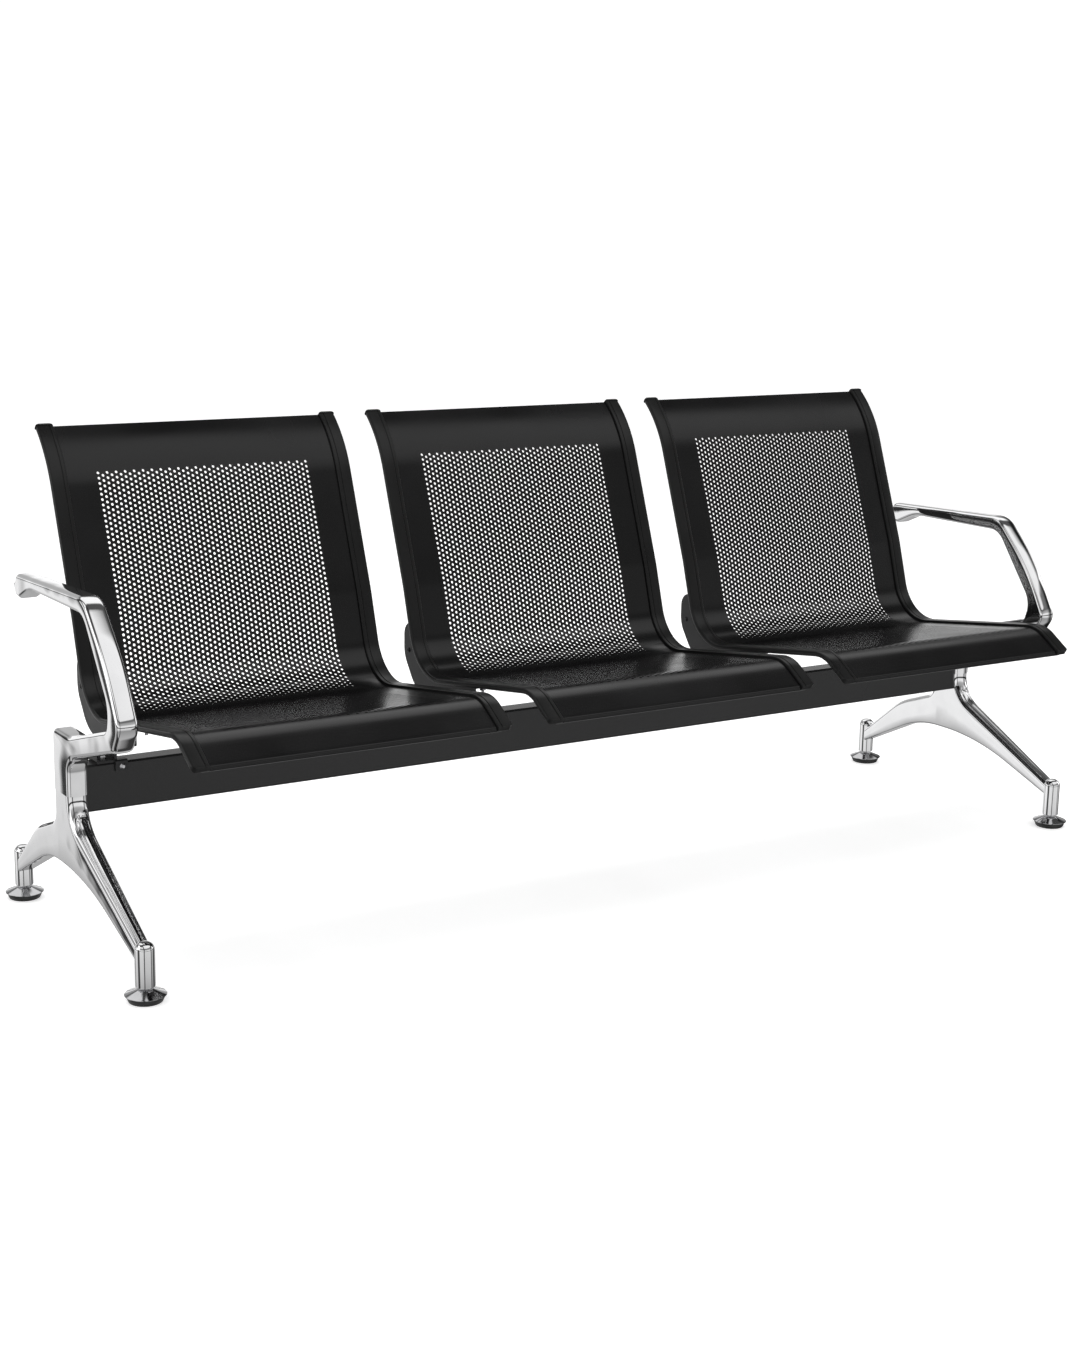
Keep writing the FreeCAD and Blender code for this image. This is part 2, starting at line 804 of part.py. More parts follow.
def make_rivets(label, side):
    # Black rivets through the web, headed on both faces
    items = []
    for depth, level in WEB_RIVETS:
        for face, turn in ((web_outer, 1), (web_inner, -1)):
            head = doc.addObject("Part::Cone", "Head")
            head.Radius1 = (size.rivet_head / 2).value
            head.Radius2 = (size.rivet_head / 4).value
            head.Height = size.rivet_rise.value
            bind(head, "Radius1", size.rivet_head / 2)
            bind(head, "Radius2", size.rivet_head / 4)
            bind(head, "Height", size.rivet_rise)
            spot = (side * face, depth, level)
            base = Vector(*[value.value for value in spot])
            head.Placement = Placement(base, Rotation(Vector(0, 1, 0), 90 * side * turn))
            items.append(head)
        rod = doc.addObject("Part::Cylinder", "Shank")
        rod.Radius = (size.rivet_shank / 2).value
        rod.Height = size.bracket_thickness.value
        bind(rod, "Radius", size.rivet_shank / 2)
        bind(rod, "Height", size.bracket_thickness)
        spot = (side * web_inner, depth, level)
        base = Vector(*[value.value for value in spot])
        rod.Placement = Placement(base, Rotation(Vector(0, 1, 0), 90 * side))
        items.append(rod)
    return join(label, items)


def make_bolts(label, side):
    # Zinc-plated studs and nuts under the sheet, a hexagon bolt in the foot and a round-headed screw in the lug
    items = []
    under_flange = under_trim + size.bracket_thickness
    for (depth, level), turn in SEAT_STUDS:
        spot = (side * stud_line, depth, level)
        root = further(spot, turn, -size.sheet_thickness / 2)
        items.append(shank(size.rivet_shank, under_flange + size.stud_tail, root, turn))
        seat = further(spot, turn, -under_flange - size.nut_height)
        items.append(hexagon(size.nut_across, size.nut_height, seat, turn))
    seat = (side * foot_bolt_line, size.beam_middle, beam_top + size.foot_thickness)
    items.append(hexagon(size.bolt_across, size.bolt_head, seat, 0))
    items.append(shank(size.bolt_shank, size.bolt_grip, seat, 0))
    seat = (side * lug_screw_line, lug_face, lug_screw_level)
    items.append(domed_head(seat, 90))
    items.append(shank(size.screw_shank, size.screw_grip, seat, 90))
    return join(label, items)


def make_beam():
    body = new_body("beam")
    wall = size.beam_wall
    section = new_sketch(body, "YZ_Plane")
    draw(section, rectangle(beam_front, size.beam_base, beam_rear, beam_top, size.beam_corner))
    draw(section, rectangle(
        beam_front + wall, size.beam_base + wall, beam_rear - wall, beam_top - wall, size.beam_corner - wall,
    ))
    pad(body, section, 2 * beam_end, midplane=True)
    below = new_sketch(body, "XY_Plane", (0, 0, size.beam_base))
    above = new_sketch(body, "XY_Plane", (0, 0, beam_top))
    before = new_sketch(body, "XZ_Plane", (0, 0, -beam_front))
    for side in SIDES:
        for inset in spigot_screw_insets:
            draw_circle(below, side * (beam_end - inset), size.beam_middle, size.screw_shank)
        for seat in SEATS:
            middle = seat * size.seat_pitch
            draw_circle(above, middle + side * foot_bolt_line, size.beam_middle, size.bolt_shank)
            draw_circle(before, middle + side * lug_screw_line, lug_screw_level, size.screw_shank)
    pocket(body, below, wall, backwards=True)
    pocket(body, above, wall)
    pocket(body, before, wall)
    return body


# Castings, each drawn about its own middle plane


def make_leg(label, side):
    body = new_body(label)
    toe = size.socket_spread
    bend_level = size.socket_top + (toe - size.post_front - size.socket_width / 2) * tangent(size.leg_slope)
    toe_level = size.socket_top - size.socket_width / 2 * tangent(size.leg_slope)
    front_drop = (toe - size.arch_front_run) * tangent(size.arch_front_angle)
    rear_drop = (toe - size.arch_rear_run) * tangent(size.arch_rear_angle)
    profile = new_sketch(body, "YZ_Plane")
    draw(profile, [
        (-size.post_front, size.seam_level),
        (-size.post_front, bend_level, size.leg_bend_radius),
        (-toe, toe_level),
        (-toe, size.arch_level - front_drop),
        (-size.arch_front_run, size.arch_level, size.arch_front_radius),
        (size.arch_rear_run, size.arch_level, size.arch_rear_radius),
        (toe, size.arch_level - rear_drop),
        (toe, size.socket_top - size.hip_drop),
        (size.hip_run, size.hip_level, size.hip_radius),
        (size.post_rear, size.hip_level + size.hip_rise, size.hip_bend),
        (size.post_rear, size.seam_level),
    ])
    pad(body, profile, size.casting_width, midplane=True)
    taper_legs(body)
    fillet(body, size.nose_round, on_front_of_leg)
    add_sockets(body)
    bore = new_sketch(body, "XY_Plane")
    draw_circle(bore, 0, post_middle, size.arm_bolt_shank + 2 * size.arm_bolt_clearance)
    pocket(body, bore, size.seam_level, backwards=True)
    recess = new_sketch(body, "XY_Plane")
    draw_circle(recess, 0, post_middle, size.arm_bolt_head + 4 * size.arm_bolt_clearance)
    pocket(body, recess, size.arm_bolt_seat, backwards=True)
    add_spigot(body, -side)
    return body


def taper_legs(body):
    # Both legs narrow towards their sockets
    taper = new_sketch(body, "XY_Plane")
    reach = size.socket_spread + size.socket_width
    middle = (size.taper_start + size.socket_spread) / 2
    for across in SIDES:
        for ahead in SIDES:
            draw(taper, [
                (across * post_face, ahead * size.taper_start),
                (across * post_face, ahead * middle, size.taper_radius),
                (across * size.toe_width / 2, ahead * reach),
                (across * size.casting_width, ahead * reach),
                (across * size.casting_width, ahead * size.taper_start),
            ])
    pocket(body, taper, 2 * size.seam_level, backwards=True)


def on_front_of_leg(edge):
    # The two long edges down the front of the post and the top of the front leg
    box = edge.BoundBox
    beside = min(abs(box.XMin), abs(box.XMax)) > size.toe_width.value / 2 - 1
    ahead = box.YMax < size.post_rear.value and box.YMin < -size.post_front.value + NEAR
    above = box.ZMin > (size.socket_top - size.socket_dome).value
    along_leg = box.XLength < size.casting_width.value / 2
    return beside and ahead and above and along_leg


def add_sockets(body):
    # Upright sockets with domed tops, bored for the studs of the glides
    disc = new_sketch(body, "XY_Plane", (0, 0, size.socket_base))
    for ahead in SIDES:
        draw_circle(disc, 0, ahead * size.socket_spread, size.socket_width)
    pad(body, disc, size.socket_top - size.socket_base - size.socket_dome)
    for ahead in SIDES:
        cap = new_sketch(body, "YZ_Plane")
        middle = ahead * size.socket_spread
        radius = size.socket_width / 2
        shoulder = size.socket_top - size.socket_dome
        draw(cap, [
            (middle, shoulder - size.dome_overlap),
            (middle + radius, shoulder - size.dome_overlap),
            (middle + radius, size.socket_top, size.socket_dome),
            (middle, size.socket_top),
        ])
        dome = body.newObject("PartDesign::Revolution", "Dome")
        dome.Profile = cap
        upright = Part.LineSegment(Vector(middle.value, 0, 0), Vector(middle.value, 10, 0))
        line = cap.addGeometry(upright, True)
        pin(cap, "DistanceX", middle, line, 1)
        pin(cap, "DistanceX", middle, line, 2)
        doc.recompute()
        dome.ReferenceAxis = (cap, ["Axis0"])
        dome.Angle = 360
        check_built(dome)
    bore = new_sketch(body, "XY_Plane", (0, 0, size.socket_base))
    for ahead in SIDES:
        draw_circle(bore, 0, ahead * size.socket_spread, size.stud_width + 2 * size.stud_clearance)
    pocket(body, bore, size.bore_depth, backwards=True)


def add_spigot(body, towards):
    # A block that fills the end of the beam
    inset = size.beam_wall + size.spigot_clearance
    sketch = new_sketch(body, "YZ_Plane", (0, 0, towards * post_face))
    draw(sketch, rectangle(
        beam_front + inset, size.beam_base + inset, beam_rear - inset, beam_top - inset, size.beam_corner,
    ))
    pad(body, sketch, size.spigot_reach, backwards=towards < 0)
    holes = new_sketch(body, "XY_Plane", (0, 0, size.beam_base))
    for inset in spigot_screw_insets:
        draw_circle(holes, towards * (post_face + inset), size.beam_middle, size.screw_shank)
    pocket(body, holes, size.screw_grip, backwards=True)
    # The outer seat's foot bolt also goes into the spigot
    hole = new_sketch(body, "XY_Plane", (0, 0, beam_top))
    bolt_line = size.leg_plane - size.seat_pitch - foot_bolt_line
    draw_circle(hole, towards * bolt_line, size.beam_middle, size.bolt_shank)
    pocket(body, hole, size.bolt_grip)


def make_spigot_screws(label, side):
    items = []
    for inset in spigot_screw_insets:
        spot = (side * (beam_end - inset), size.beam_middle, size.beam_base)
        items.append(domed_head(spot, 180))
        items.append(shank(size.screw_shank, size.screw_grip, spot, 180))
    return join(label, items)


def make_armrest(label):
    body = new_body(label)
    profile = new_sketch(body, "YZ_Plane")
    under_bar = size.arm_top - size.arm_bar
    crook_top = -size.arm_crook - size.arm_crook_lean
    draw(profile, [
        (size.post_rear, size.seam_level),
        (size.post_rear, size.arm_base_top, size.arm_base_round),
        (-size.arm_base_reach, size.arm_base_top, size.arm_base_radius),
        (-size.arm_crook, size.arm_crook_level, size.arm_crook_radius),
        (crook_top, size.arm_crook_level + size.arm_crook_rise, size.arm_crook_bend),
        (-size.arm_hollow, under_bar, size.arm_hollow_radius),
        (size.arm_tail - size.arm_flare_run, under_bar, size.arm_flare_radius),
        (size.arm_tail - size.arm_heel, under_bar - size.arm_flare, size.arm_heel_round),
        (size.arm_tail, under_bar - size.arm_tip_drop, size.arm_tip_round),
        (size.arm_tail - size.arm_tip_lean, size.arm_tail_top, size.arm_tip_round),
        (-size.arm_shoulder, size.arm_top, size.arm_shoulder_radius),
        (-size.arm_knee, size.arm_knee_level, size.arm_knee_radius),
        (-size.arm_front, size.arm_front_level, size.arm_front_radius),
        (-size.arm_chin, size.arm_chin_level, size.arm_chin_radius),
        (-size.post_front, size.arm_neck_level, size.arm_neck_radius),
        (-size.post_front, size.seam_level),
    ])
    pad(body, profile, size.casting_width, midplane=True)

    def beside(edge):
        box = edge.BoundBox
        flat = box.XLength < NEAR and abs(abs(box.XMax) - post_face.value) < NEAR
        return flat and box.ZMax > size.seam_level.value + NEAR

    fillet(body, size.arm_round, beside)
    bore = new_sketch(body, "XY_Plane", (0, 0, size.seam_level))
    draw_circle(bore, 0, post_middle, size.arm_bolt_shank)
    pocket(body, bore, size.arm_bolt_grip, backwards=True)
    return body


def make_arm_bolt(label):
    body = new_body(label)
    head = size.arm_bolt_head / 2
    rod = size.arm_bolt_shank / 2
    revolve(body, [
        (0, size.arm_bolt_seat - size.arm_bolt_head_height),
        (head, size.arm_bolt_seat - size.arm_bolt_head_height),
        (head, size.arm_bolt_seat),
        (rod, size.arm_bolt_seat),
        (rod, size.seam_level + size.arm_bolt_grip),
        (0, size.seam_level + size.arm_bolt_grip),
    ])
    return body


# Levelling glides


def make_disc(label):
    body = new_body(label)
    bore = size.stud_width / 2 + size.stud_clearance
    rim = size.disc_width / 2
    top = size.disc_level + size.disc_rim
    revolve(body, [
        (0, size.disc_level),
        (rim, size.disc_level),
        (rim, top),
        (size.hub_width / 2, size.disc_level + size.disc_rise),
        (bore, size.disc_level + size.disc_rise),
        (bore, size.stud_seat),
        (0, size.stud_seat),
    ])
    return body


def make_rubber(label):
    body = new_body(label)
    half = size.rubber_width / 2
    revolve(body, [
        (0, 0),
        (half - size.rubber_edge, 0),
        (half, size.rubber_edge),
        (half, size.disc_level),
        (0, size.disc_level),
    ])
    return body


def make_stud(label):
    body = new_body(label)
    disc = new_sketch(body, "XY_Plane", (0, 0, size.stud_seat))
    draw_circle(disc, 0, 0, size.stud_width)
    pad(body, disc, size.socket_base - size.stud_seat + size.stud_reach)
    return body


# Assembly: every piece with the place of its own origin along the beam

places = {}


def stand(part, x, y=0):
    places[part.Label] = (as_size(x), as_size(y))


stand(make_beam(), 0)
for side in SIDES:
    name = side_names[side]
    stand(make_leg(f"leg_{name}", side), side * size.leg_plane)
    stand(make_armrest(f"armrest_{name}"), side * size.leg_plane)
    bolt = make_arm_bolt(f"arm_bolt_{name}")
    stand(bolt, side * size.leg_plane, post_middle)
    stand(make_spigot_screws(f"spigot_screws_{name}", side), 0)
    for ahead, end in ((-1, "front"), (1, "rear")):
        for make, piece in ((make_disc, "disc"), (make_rubber, "rubber"), (make_stud, "stud")):
            glide = make(f"glide_{end}_{name}_{piece}")
            stand(glide, side * size.leg_plane, ahead * size.socket_spread)
for seat in SEATS:
    middle = seat * size.seat_pitch
    title = f"seat_{seat + 2}"
    stand(make_shell(f"{title}_shell"), middle)
    for side in SIDES:
        name = side_names[side]
        stand(make_trim(f"{title}_trim_{name}", side), middle)
        stand(make_cap(f"{title}_cap_{name}", side), middle)
        stand(make_bracket(f"{title}_bracket_{name}", side), middle)
        stand(make_rivets(f"{title}_rivets_{name}", side), middle)
        stand(make_bolts(f"{title}_bolts_{name}", side), middle)

# The origin is under the middle of the depth, from the tips of the trims to the rear glides

doc.recompute()
boxes = {part.Label: part.Shape.optimalBoundingBox(False, False) for part in parts}
rear = max(boxes[label].YMax + places[label][1].value for label in places)
front = min(boxes[label].YMin + places[label][1].value for label in places)
centring = -(rear + front) / 2
for part in parts:
    x, y = places[part.Label]
    part.Placement = Placement(Vector(x.value, y.value + centring, 0), Rotation())
    bind(part, "Placement.Base.x", x)
doc.recompute()

for item in doc.Objects:
    if "Invalid" in item.State or "Error" in item.State:
        raise RuntimeError(f"{item.Label} did not build")
for part in parts:
    if part.Shape.isNull() or not part.Shape.isValid():
        raise RuntimeError(f"{part.Label} is not a valid solid")
for part in parts:
    part.Shape.exportStep(os.path.join("parts", f"{part.Label}.step"))
print(f"{len(parts)} pieces, depth {rear - front:.1f}, moved back by {centring:.2f}")
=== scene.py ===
import math
import bpy
from mathutils import Matrix, Vector


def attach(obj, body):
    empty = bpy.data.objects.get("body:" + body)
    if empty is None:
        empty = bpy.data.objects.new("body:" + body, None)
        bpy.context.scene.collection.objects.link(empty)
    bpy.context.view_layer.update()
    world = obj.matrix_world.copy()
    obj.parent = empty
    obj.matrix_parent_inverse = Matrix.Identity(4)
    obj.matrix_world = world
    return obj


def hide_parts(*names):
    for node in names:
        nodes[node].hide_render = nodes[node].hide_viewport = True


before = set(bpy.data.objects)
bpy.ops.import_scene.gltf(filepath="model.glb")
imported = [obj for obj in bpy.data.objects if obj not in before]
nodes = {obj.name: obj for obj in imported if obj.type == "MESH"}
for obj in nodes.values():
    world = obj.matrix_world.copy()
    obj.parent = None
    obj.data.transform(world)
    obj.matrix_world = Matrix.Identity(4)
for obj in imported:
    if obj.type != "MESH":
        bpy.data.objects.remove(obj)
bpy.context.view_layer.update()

mm = 0.001
sides = {"left": -1, "right": 1}
bpy.ops.object.select_all(action="DESELECT")

# merging distances in metres, then the least values and small margins in millimetres
nearness = {
    "loftMerge": 1e-6,
    "sheetMerge": 1e-5,
    "leastRun": 1e-6,
    "leastRadius": 1e-3,
    "pastSeam": 1e-3,
    "select": 0.01,
}


# what seats, trims and castings share, in millimetres and degrees
bench = {
    "seatPitch": 600,
    "legPlane": 920,
    "depthShift": 18.6,
    "seatHalf": 268,
    "bendDepth": 94,
    "bendLevel": 342,
    "bendRadius": 90,
    "panAngle": 8.4,
    "panRun": 373,
    "lipAngle": 32,
    "lipRun": 69,
    "lipRadius": 65,
    "lowBackAngle": 17.5,
    "lowBackRun": 162,
    "lumbarRadius": 150,
    "backAngle": 21,
    "backRun": 268,
    "curlAngle": 50,
    "curlRun": 60,
    "curlRadius": 215,
    "trimTail": 3,
}


def upAndBack(start, run, lean):
    lean = math.radians(lean)
    return (start[0] + run * math.sin(lean), start[1] + run * math.cos(lean))


def forwardAndDown(start, run, fall):
    fall = math.radians(fall)
    return (start[0] - run * math.cos(fall), start[1] - run * math.sin(fall))


bend = (bench["bendDepth"], bench["bendLevel"])
lumbar = upAndBack(bend, bench["lowBackRun"], bench["lowBackAngle"])
curl = upAndBack(lumbar, bench["backRun"], bench["backAngle"])
seatTop = upAndBack(curl, bench["curlRun"], bench["curlAngle"])
crest = forwardAndDown(bend, bench["panRun"], -bench["panAngle"])
lipEnd = forwardAndDown(crest, bench["lipRun"], bench["lipAngle"])
trimTip = forwardAndDown(lipEnd, bench["trimTail"], bench["lipAngle"])
# the sheet's middle line from its curled top down to the lip: depth, level and corner radius
seatCorners = [
    (*seatTop, 0),
    (*curl, bench["curlRadius"]),
    (*lumbar, bench["lumbarRadius"]),
    (*bend, bench["bendRadius"]),
    (*crest, bench["lipRadius"]),
]


class Route:
    # a line of straight runs joined by arcs, measured along its length
    def __init__(self, corners):
        self.parts = []
        here = Vector(corners[0][:2])
        ahead = Vector((1, 0))
        for i in range(1, len(corners)):
            corner = Vector(corners[i][:2])
            ahead = (corner - Vector(corners[i - 1][:2])).normalized()
            if i == len(corners) - 1:
                self.parts.append((here, ahead, (corner - here).length, 0))
                break
            after = (Vector(corners[i + 1][:2]) - corner).normalized()
            turn = math.atan2(ahead.x * after.y - ahead.y * after.x, ahead.dot(after))
            radius = corners[i][2]
            setback = radius * math.tan(abs(turn) / 2)
            start = corner - ahead * setback
            self.parts.append((here, ahead, (start - here).length, 0))
            if radius > 0:
                self.parts.append((start, ahead, radius * abs(turn), turn))
            here = corner + after * setback
        self.ends = []
        total = 0
        for part in self.parts:
            total += part[2]
            self.ends.append(total)
        self.length = total

    def at(self, s):
        # place and direction at a distance from the start
        i = 0
        while i < len(self.parts) - 1 and s > self.ends[i]:
            i += 1
        start, ahead, length, turn = self.parts[i]
        s -= self.ends[i] - length
        if turn == 0:
            return start + ahead * s, ahead
        radius = length / abs(turn)
        angle = s / radius
        sign = 1 if turn > 0 else -1
        beside = Vector((-ahead.y, ahead.x)) * sign
        spot = start + ahead * (radius * math.sin(angle)) + beside * (radius * (1 - math.cos(angle)))
        return spot, ahead * math.cos(angle) + beside * math.sin(angle)

    def stops(self, start, end, stepOnRun, stepOnTurn):
        # distances close together on the arcs and wide apart on the straight runs
        found = [start]
        for i in range(len(self.parts)):
            length = self.parts[i][2]
            low = max(start, self.ends[i] - length)
            high = min(end, self.ends[i])
            if high - low < nearness["leastRun"]:
                continue
            turn = abs(self.parts[i][3])
            count = math.ceil((high - low) / stepOnRun)
            if turn > 0:
                count = max(2, math.ceil(math.degrees(turn) * (high - low) / length / stepOnTurn))
            found += [low + (high - low) * (k + 1) / count for k in range(count)]
        return found


def roundedOutline(corners, steps):
    # a closed outline with its corners rounded: (across, up, radius)
    found = []
    count = len(corners)
    for i in range(count):
        corner = Vector(corners[i][:2])
        radius = corners[i][2]
        if radius == 0:
            found.append(corner)
            continue
        before = (corner - Vector(corners[i - 1][:2])).normalized()
        after = (Vector(corners[(i + 1) % count][:2]) - corner).normalized()
        turn = math.atan2(before.x * after.y - before.y * after.x, before.dot(after))
        setback = radius * math.tan(abs(turn) / 2)
        start = corner - before * setback
        beside = Vector((-before.y, before.x)) * (1 if turn > 0 else -1)
        for k in range(steps + 1):
            angle = abs(turn) * k / steps
            onward = radius * math.sin(angle)
            aside = radius * (1 - math.cos(angle))
            found.append(start + before * onward + beside * aside)
    return found


def selectOnly(piece):
    bpy.ops.object.select_all(action="DESELECT")
    piece.select_set(True)
    bpy.context.view_layer.objects.active = piece


def applyModifier(piece, kind, settings):
    selectOnly(piece)
    modifier = piece.modifiers.new(kind.title(), kind)
    for name, value in settings.items():
        setattr(modifier, name, value)
    bpy.ops.object.modifier_apply(modifier=modifier.name)


def smooth(piece, degrees):
    selectOnly(piece)
    bpy.ops.object.shade_smooth_by_angle(angle=math.radians(degrees))


def place(piece, x=0, y=0, z=0):
    # millimetres in the bench's own frame; the object itself stays at the origin
    piece.data.transform(Matrix.Translation(Vector((x, y, z)) * mm))


def joined(pieces):
    bpy.ops.object.select_all(action="DESELECT")
    for piece in pieces:
        piece.select_set(True)
    bpy.context.view_layer.objects.active = pieces[0]
    bpy.ops.object.join()
    return pieces[0]


def copied(piece, name):
    twin = piece.copy()
    twin.data = piece.data.copy()
    twin.name = name
    twin.data.name = name
    bpy.context.scene.collection.objects.link(twin)
    return twin


def mirrored(piece, name):
    twin = copied(piece, name)
    for vertex in twin.data.vertices:
        vertex.co.x = -vertex.co.x
    selectOnly(twin)
    bpy.ops.object.mode_set(mode="EDIT")
    bpy.ops.mesh.select_all(action="SELECT")
    bpy.ops.mesh.flip_normals()
    bpy.ops.object.mode_set(mode="OBJECT")
    return twin


def loft(name, rings, smoothAngle=35):
    # a grid whose rows are laid on the rings, closed round and filled at both ends
    around = len(rings[0])
    bpy.ops.mesh.primitive_grid_add(x_subdivisions=around, y_subdivisions=len(rings) - 1, size=1)
    piece = bpy.context.object
    piece.name = name
    piece.data.name = name
    places = []
    for ring in rings:
        for point in (*ring, ring[0]):
            places += [point[0] * mm, point[1] * mm, point[2] * mm]
    piece.data.vertices.foreach_set("co", places)
    piece.location = (0, 0, 0)
    bpy.ops.object.mode_set(mode="EDIT")
    bpy.ops.mesh.select_all(action="SELECT")
    bpy.ops.mesh.remove_doubles(threshold=nearness["loftMerge"])
    bpy.ops.mesh.select_all(action="DESELECT")
    bpy.ops.mesh.select_mode(type="EDGE")
    bpy.ops.mesh.select_non_manifold(
        extend=False, use_wire=False, use_multi_face=False, use_non_contiguous=False, use_verts=False
    )
    bpy.ops.mesh.edge_face_add()
    bpy.ops.mesh.select_mode(type="VERT")
    bpy.ops.mesh.select_all(action="SELECT")
    bpy.ops.mesh.normals_make_consistent(inside=False)
    bpy.ops.object.mode_set(mode="OBJECT")
    smooth(piece, smoothAngle)
    return piece


def turned(name, outline, x=0, y=0, facets=48):
    # a shape turned about an upright axis, from an outline of radius and level that ends at the axis
    turns = [2 * math.pi * k / facets for k in range(facets)]
    rings = []
    for radius, level in outline:
        radius = max(radius, nearness["leastRadius"])
        rings.append([(radius * math.cos(turn), radius * math.sin(turn), level) for turn in turns])
    piece = loft(name, rings)
    place(piece, x, y)
    return piece


class Sock:
    # a node socket that takes part in products
    def __init__(self, look, socket):
        self.look = look
        self.socket = socket

    def __mul__(self, other):
        return self.look.node("ShaderNodeMath", {"operation": "MULTIPLY"}, {0: self, 1: other})

    def __rmul__(self, other):
        return self * other


class Look:
    # a material or world, with one way to add any node
    def __init__(self, tree):
        self.tree = tree
        self.tree.nodes.clear()

    def node(self, kind, settings=None, inputs=None, output=0):
        made = self.tree.nodes.new(kind)
        for name, value in (settings or {}).items():
            if name == "stops":
                ramp = made.color_ramp
                while len(ramp.elements) > 1:
                    ramp.elements.remove(ramp.elements[-1])
                for i, (position, grey) in enumerate(value):
                    element = ramp.elements[0] if i == 0 else ramp.elements.new(position)
                    element.position = position
                    element.color = (grey, grey, grey, 1)
            else:
                setattr(made, name, value)
        for name, value in (inputs or {}).items():
            if isinstance(value, Sock):
                self.tree.links.new(value.socket, made.inputs[name])
            else:
                made.inputs[name].default_value = value
        if output is None:
            return made
        return Sock(self, made.outputs[output])


def newMaterial(name):
    material = bpy.data.materials.new(name)
    material.use_nodes = True
    return material, Look(material.node_tree)


def addSurface(look, surface, bumps):
    # each bump is a height, a strength and a distance, the deepest first
    normal = None
    for height, strength, distance in bumps:
        inputs = {"Height": height, "Strength": strength, "Distance": distance}
        if normal:
            inputs["Normal"] = normal
        normal = look.node("ShaderNodeBump", {}, inputs)
    if normal:
        surface["Normal"] = normal
    shader = look.node("ShaderNodeBsdfPrincipled", {}, surface)
    look.node("ShaderNodeOutputMaterial", {}, {"Surface": shader}, None)


def noise(look, scale, detail=2, distortion=0):
    where = look.node("ShaderNodeTexCoord", {}, {}, "Object")
    inputs = {"Vector": where, "Scale": scale, "Detail": detail, "Distortion": distortion}
    return look.node("ShaderNodeTexNoise", {}, inputs, 0)


def shade(look, factor, dark, light):
    return look.node("ShaderNodeMix", {"data_type": "RGBA"}, {0: factor, 6: (*dark, 1), 7: (*light, 1)}, 2)


def between(look, factor, low, high):
    return look.node("ShaderNodeMapRange", {}, {0: factor, 1: cloudLow, 2: cloudHigh, 3: low, 4: high})


# the noise values between which roughness goes from its low to its high end
cloudLow = 0.3
cloudHigh = 0.7
# a cloud is the scale and detail of the noise between dark and light, and a bump is
# the scale, detail and distortion of its noise, its strength and its distance in metres
finishes = {
    "sheet": {
        "name": "blackSheetPaint",
        "dark": (0.003, 0.003, 0.0031),
        "light": (0.006, 0.006, 0.0062),
        "gloss": (0.18, 0.28),
        "metallic": 0,
        "ior": 1.44,
        "cloud": (5, 3),
        "bumps": [(900, 1, 0, 0.12, 0.0002)],
    },
    "trim": {
        "name": "blackTrim",
        "dark": (0.004, 0.004, 0.004),
        "light": (0.009, 0.009, 0.009),
        "gloss": (0.26, 0.36),
        "metallic": 0,
        "ior": 1.4,
        "cloud": (9, 3),
        "bumps": [(1800, 2, 0, 0.15, 0.0001)],
    },
    "casting": {
        "name": "polishedCasting",
        "dark": (0.82, 0.82, 0.83),
        "light": (0.93, 0.93, 0.935),
        "gloss": (0.03, 0.08),
        "metallic": 1,
        "ior": 1.5,
        "cloud": (30, 4),
        "bumps": [(14, 1, 0, 0.25, 0.004), (220, 3, 1, 0.02, 0.0002)],
    },
    "beam": {
        "name": "blackBeamPaint",
        "dark": (0.004, 0.004, 0.0042),
        "light": (0.016, 0.016, 0.0164),
        "gloss": (0.2, 0.32),
        "metallic": 0,
        "ior": 1.5,
        "cloud": (2, 3),
        "bumps": [(40, 2, 0, 0.06, 0.0002)],
    },
    "bracket": {
        "name": "bracketPaint",
        "dark": (0.010, 0.010, 0.0105),
        "light": (0.028, 0.028, 0.029),
        "gloss": (0.3, 0.45),
        "metallic": 0,
        "ior": 1.4,
        "cloud": (18, 3),
        "bumps": [(360, 2, 0, 0.06, 0.0002)],
    },
    "rivet": {
        "name": "rivetPaint",
        "dark": (0.003, 0.003, 0.0031),
        "light": (0.006, 0.006, 0.0062),
        "gloss": (0.18, 0.28),
        "metallic": 0,
        "ior": 1.4,
        "cloud": (30, 3),
        "bumps": [(600, 2, 0, 0.06, 0.0002)],
    },
    "chrome": {
        "name": "glideChrome",
        "dark": (0.50, 0.50, 0.51),
        "light": (0.62, 0.62, 0.63),
        "gloss": (0.05, 0.14),
        "metallic": 1,
        "ior": 1.5,
        "cloud": (40, 3),
        "bumps": [(800, 2, 0, 0.06, 0.0002)],
    },
    "zinc": {
        "name": "brightZinc",
        "dark": (0.62, 0.62, 0.64),
        "light": (0.78, 0.78, 0.79),
        "gloss": (0.18, 0.32),
        "metallic": 1,
        "ior": 1.5,
        "cloud": (60, 3),
        "bumps": [(1200, 2, 0, 0.06, 0.0002)],
    },
    "rubber": {
        "name": "glideRubber",
        "dark": (0.012, 0.012, 0.012),
        "light": (0.03, 0.03, 0.03),
        "gloss": (0.35, 0.5),
        "metallic": 0,
        "ior": 1.5,
        "cloud": (80, 3),
        "bumps": [(1600, 2, 0, 0.06, 0.0002)],
    },
}


def makeFinish(values):
    material, look = newMaterial(values["name"])
    cloud = noise(look, *values["cloud"])
    bumps = []
    for scale, detail, distortion, strength, distance in values["bumps"]:
        bumps.append((noise(look, scale, detail, distortion), strength, distance))
    addSurface(look, {
        "Base Color": shade(look, cloud, values["dark"], values["light"]),
        "Metallic": values["metallic"],
        "Roughness": between(look, cloud, *values["gloss"]),
        "IOR": values["ior"],
    }, bumps)
    return material


looks = {key: makeFinish(values) for key, values in finishes.items()}
print("materials made", len(looks))


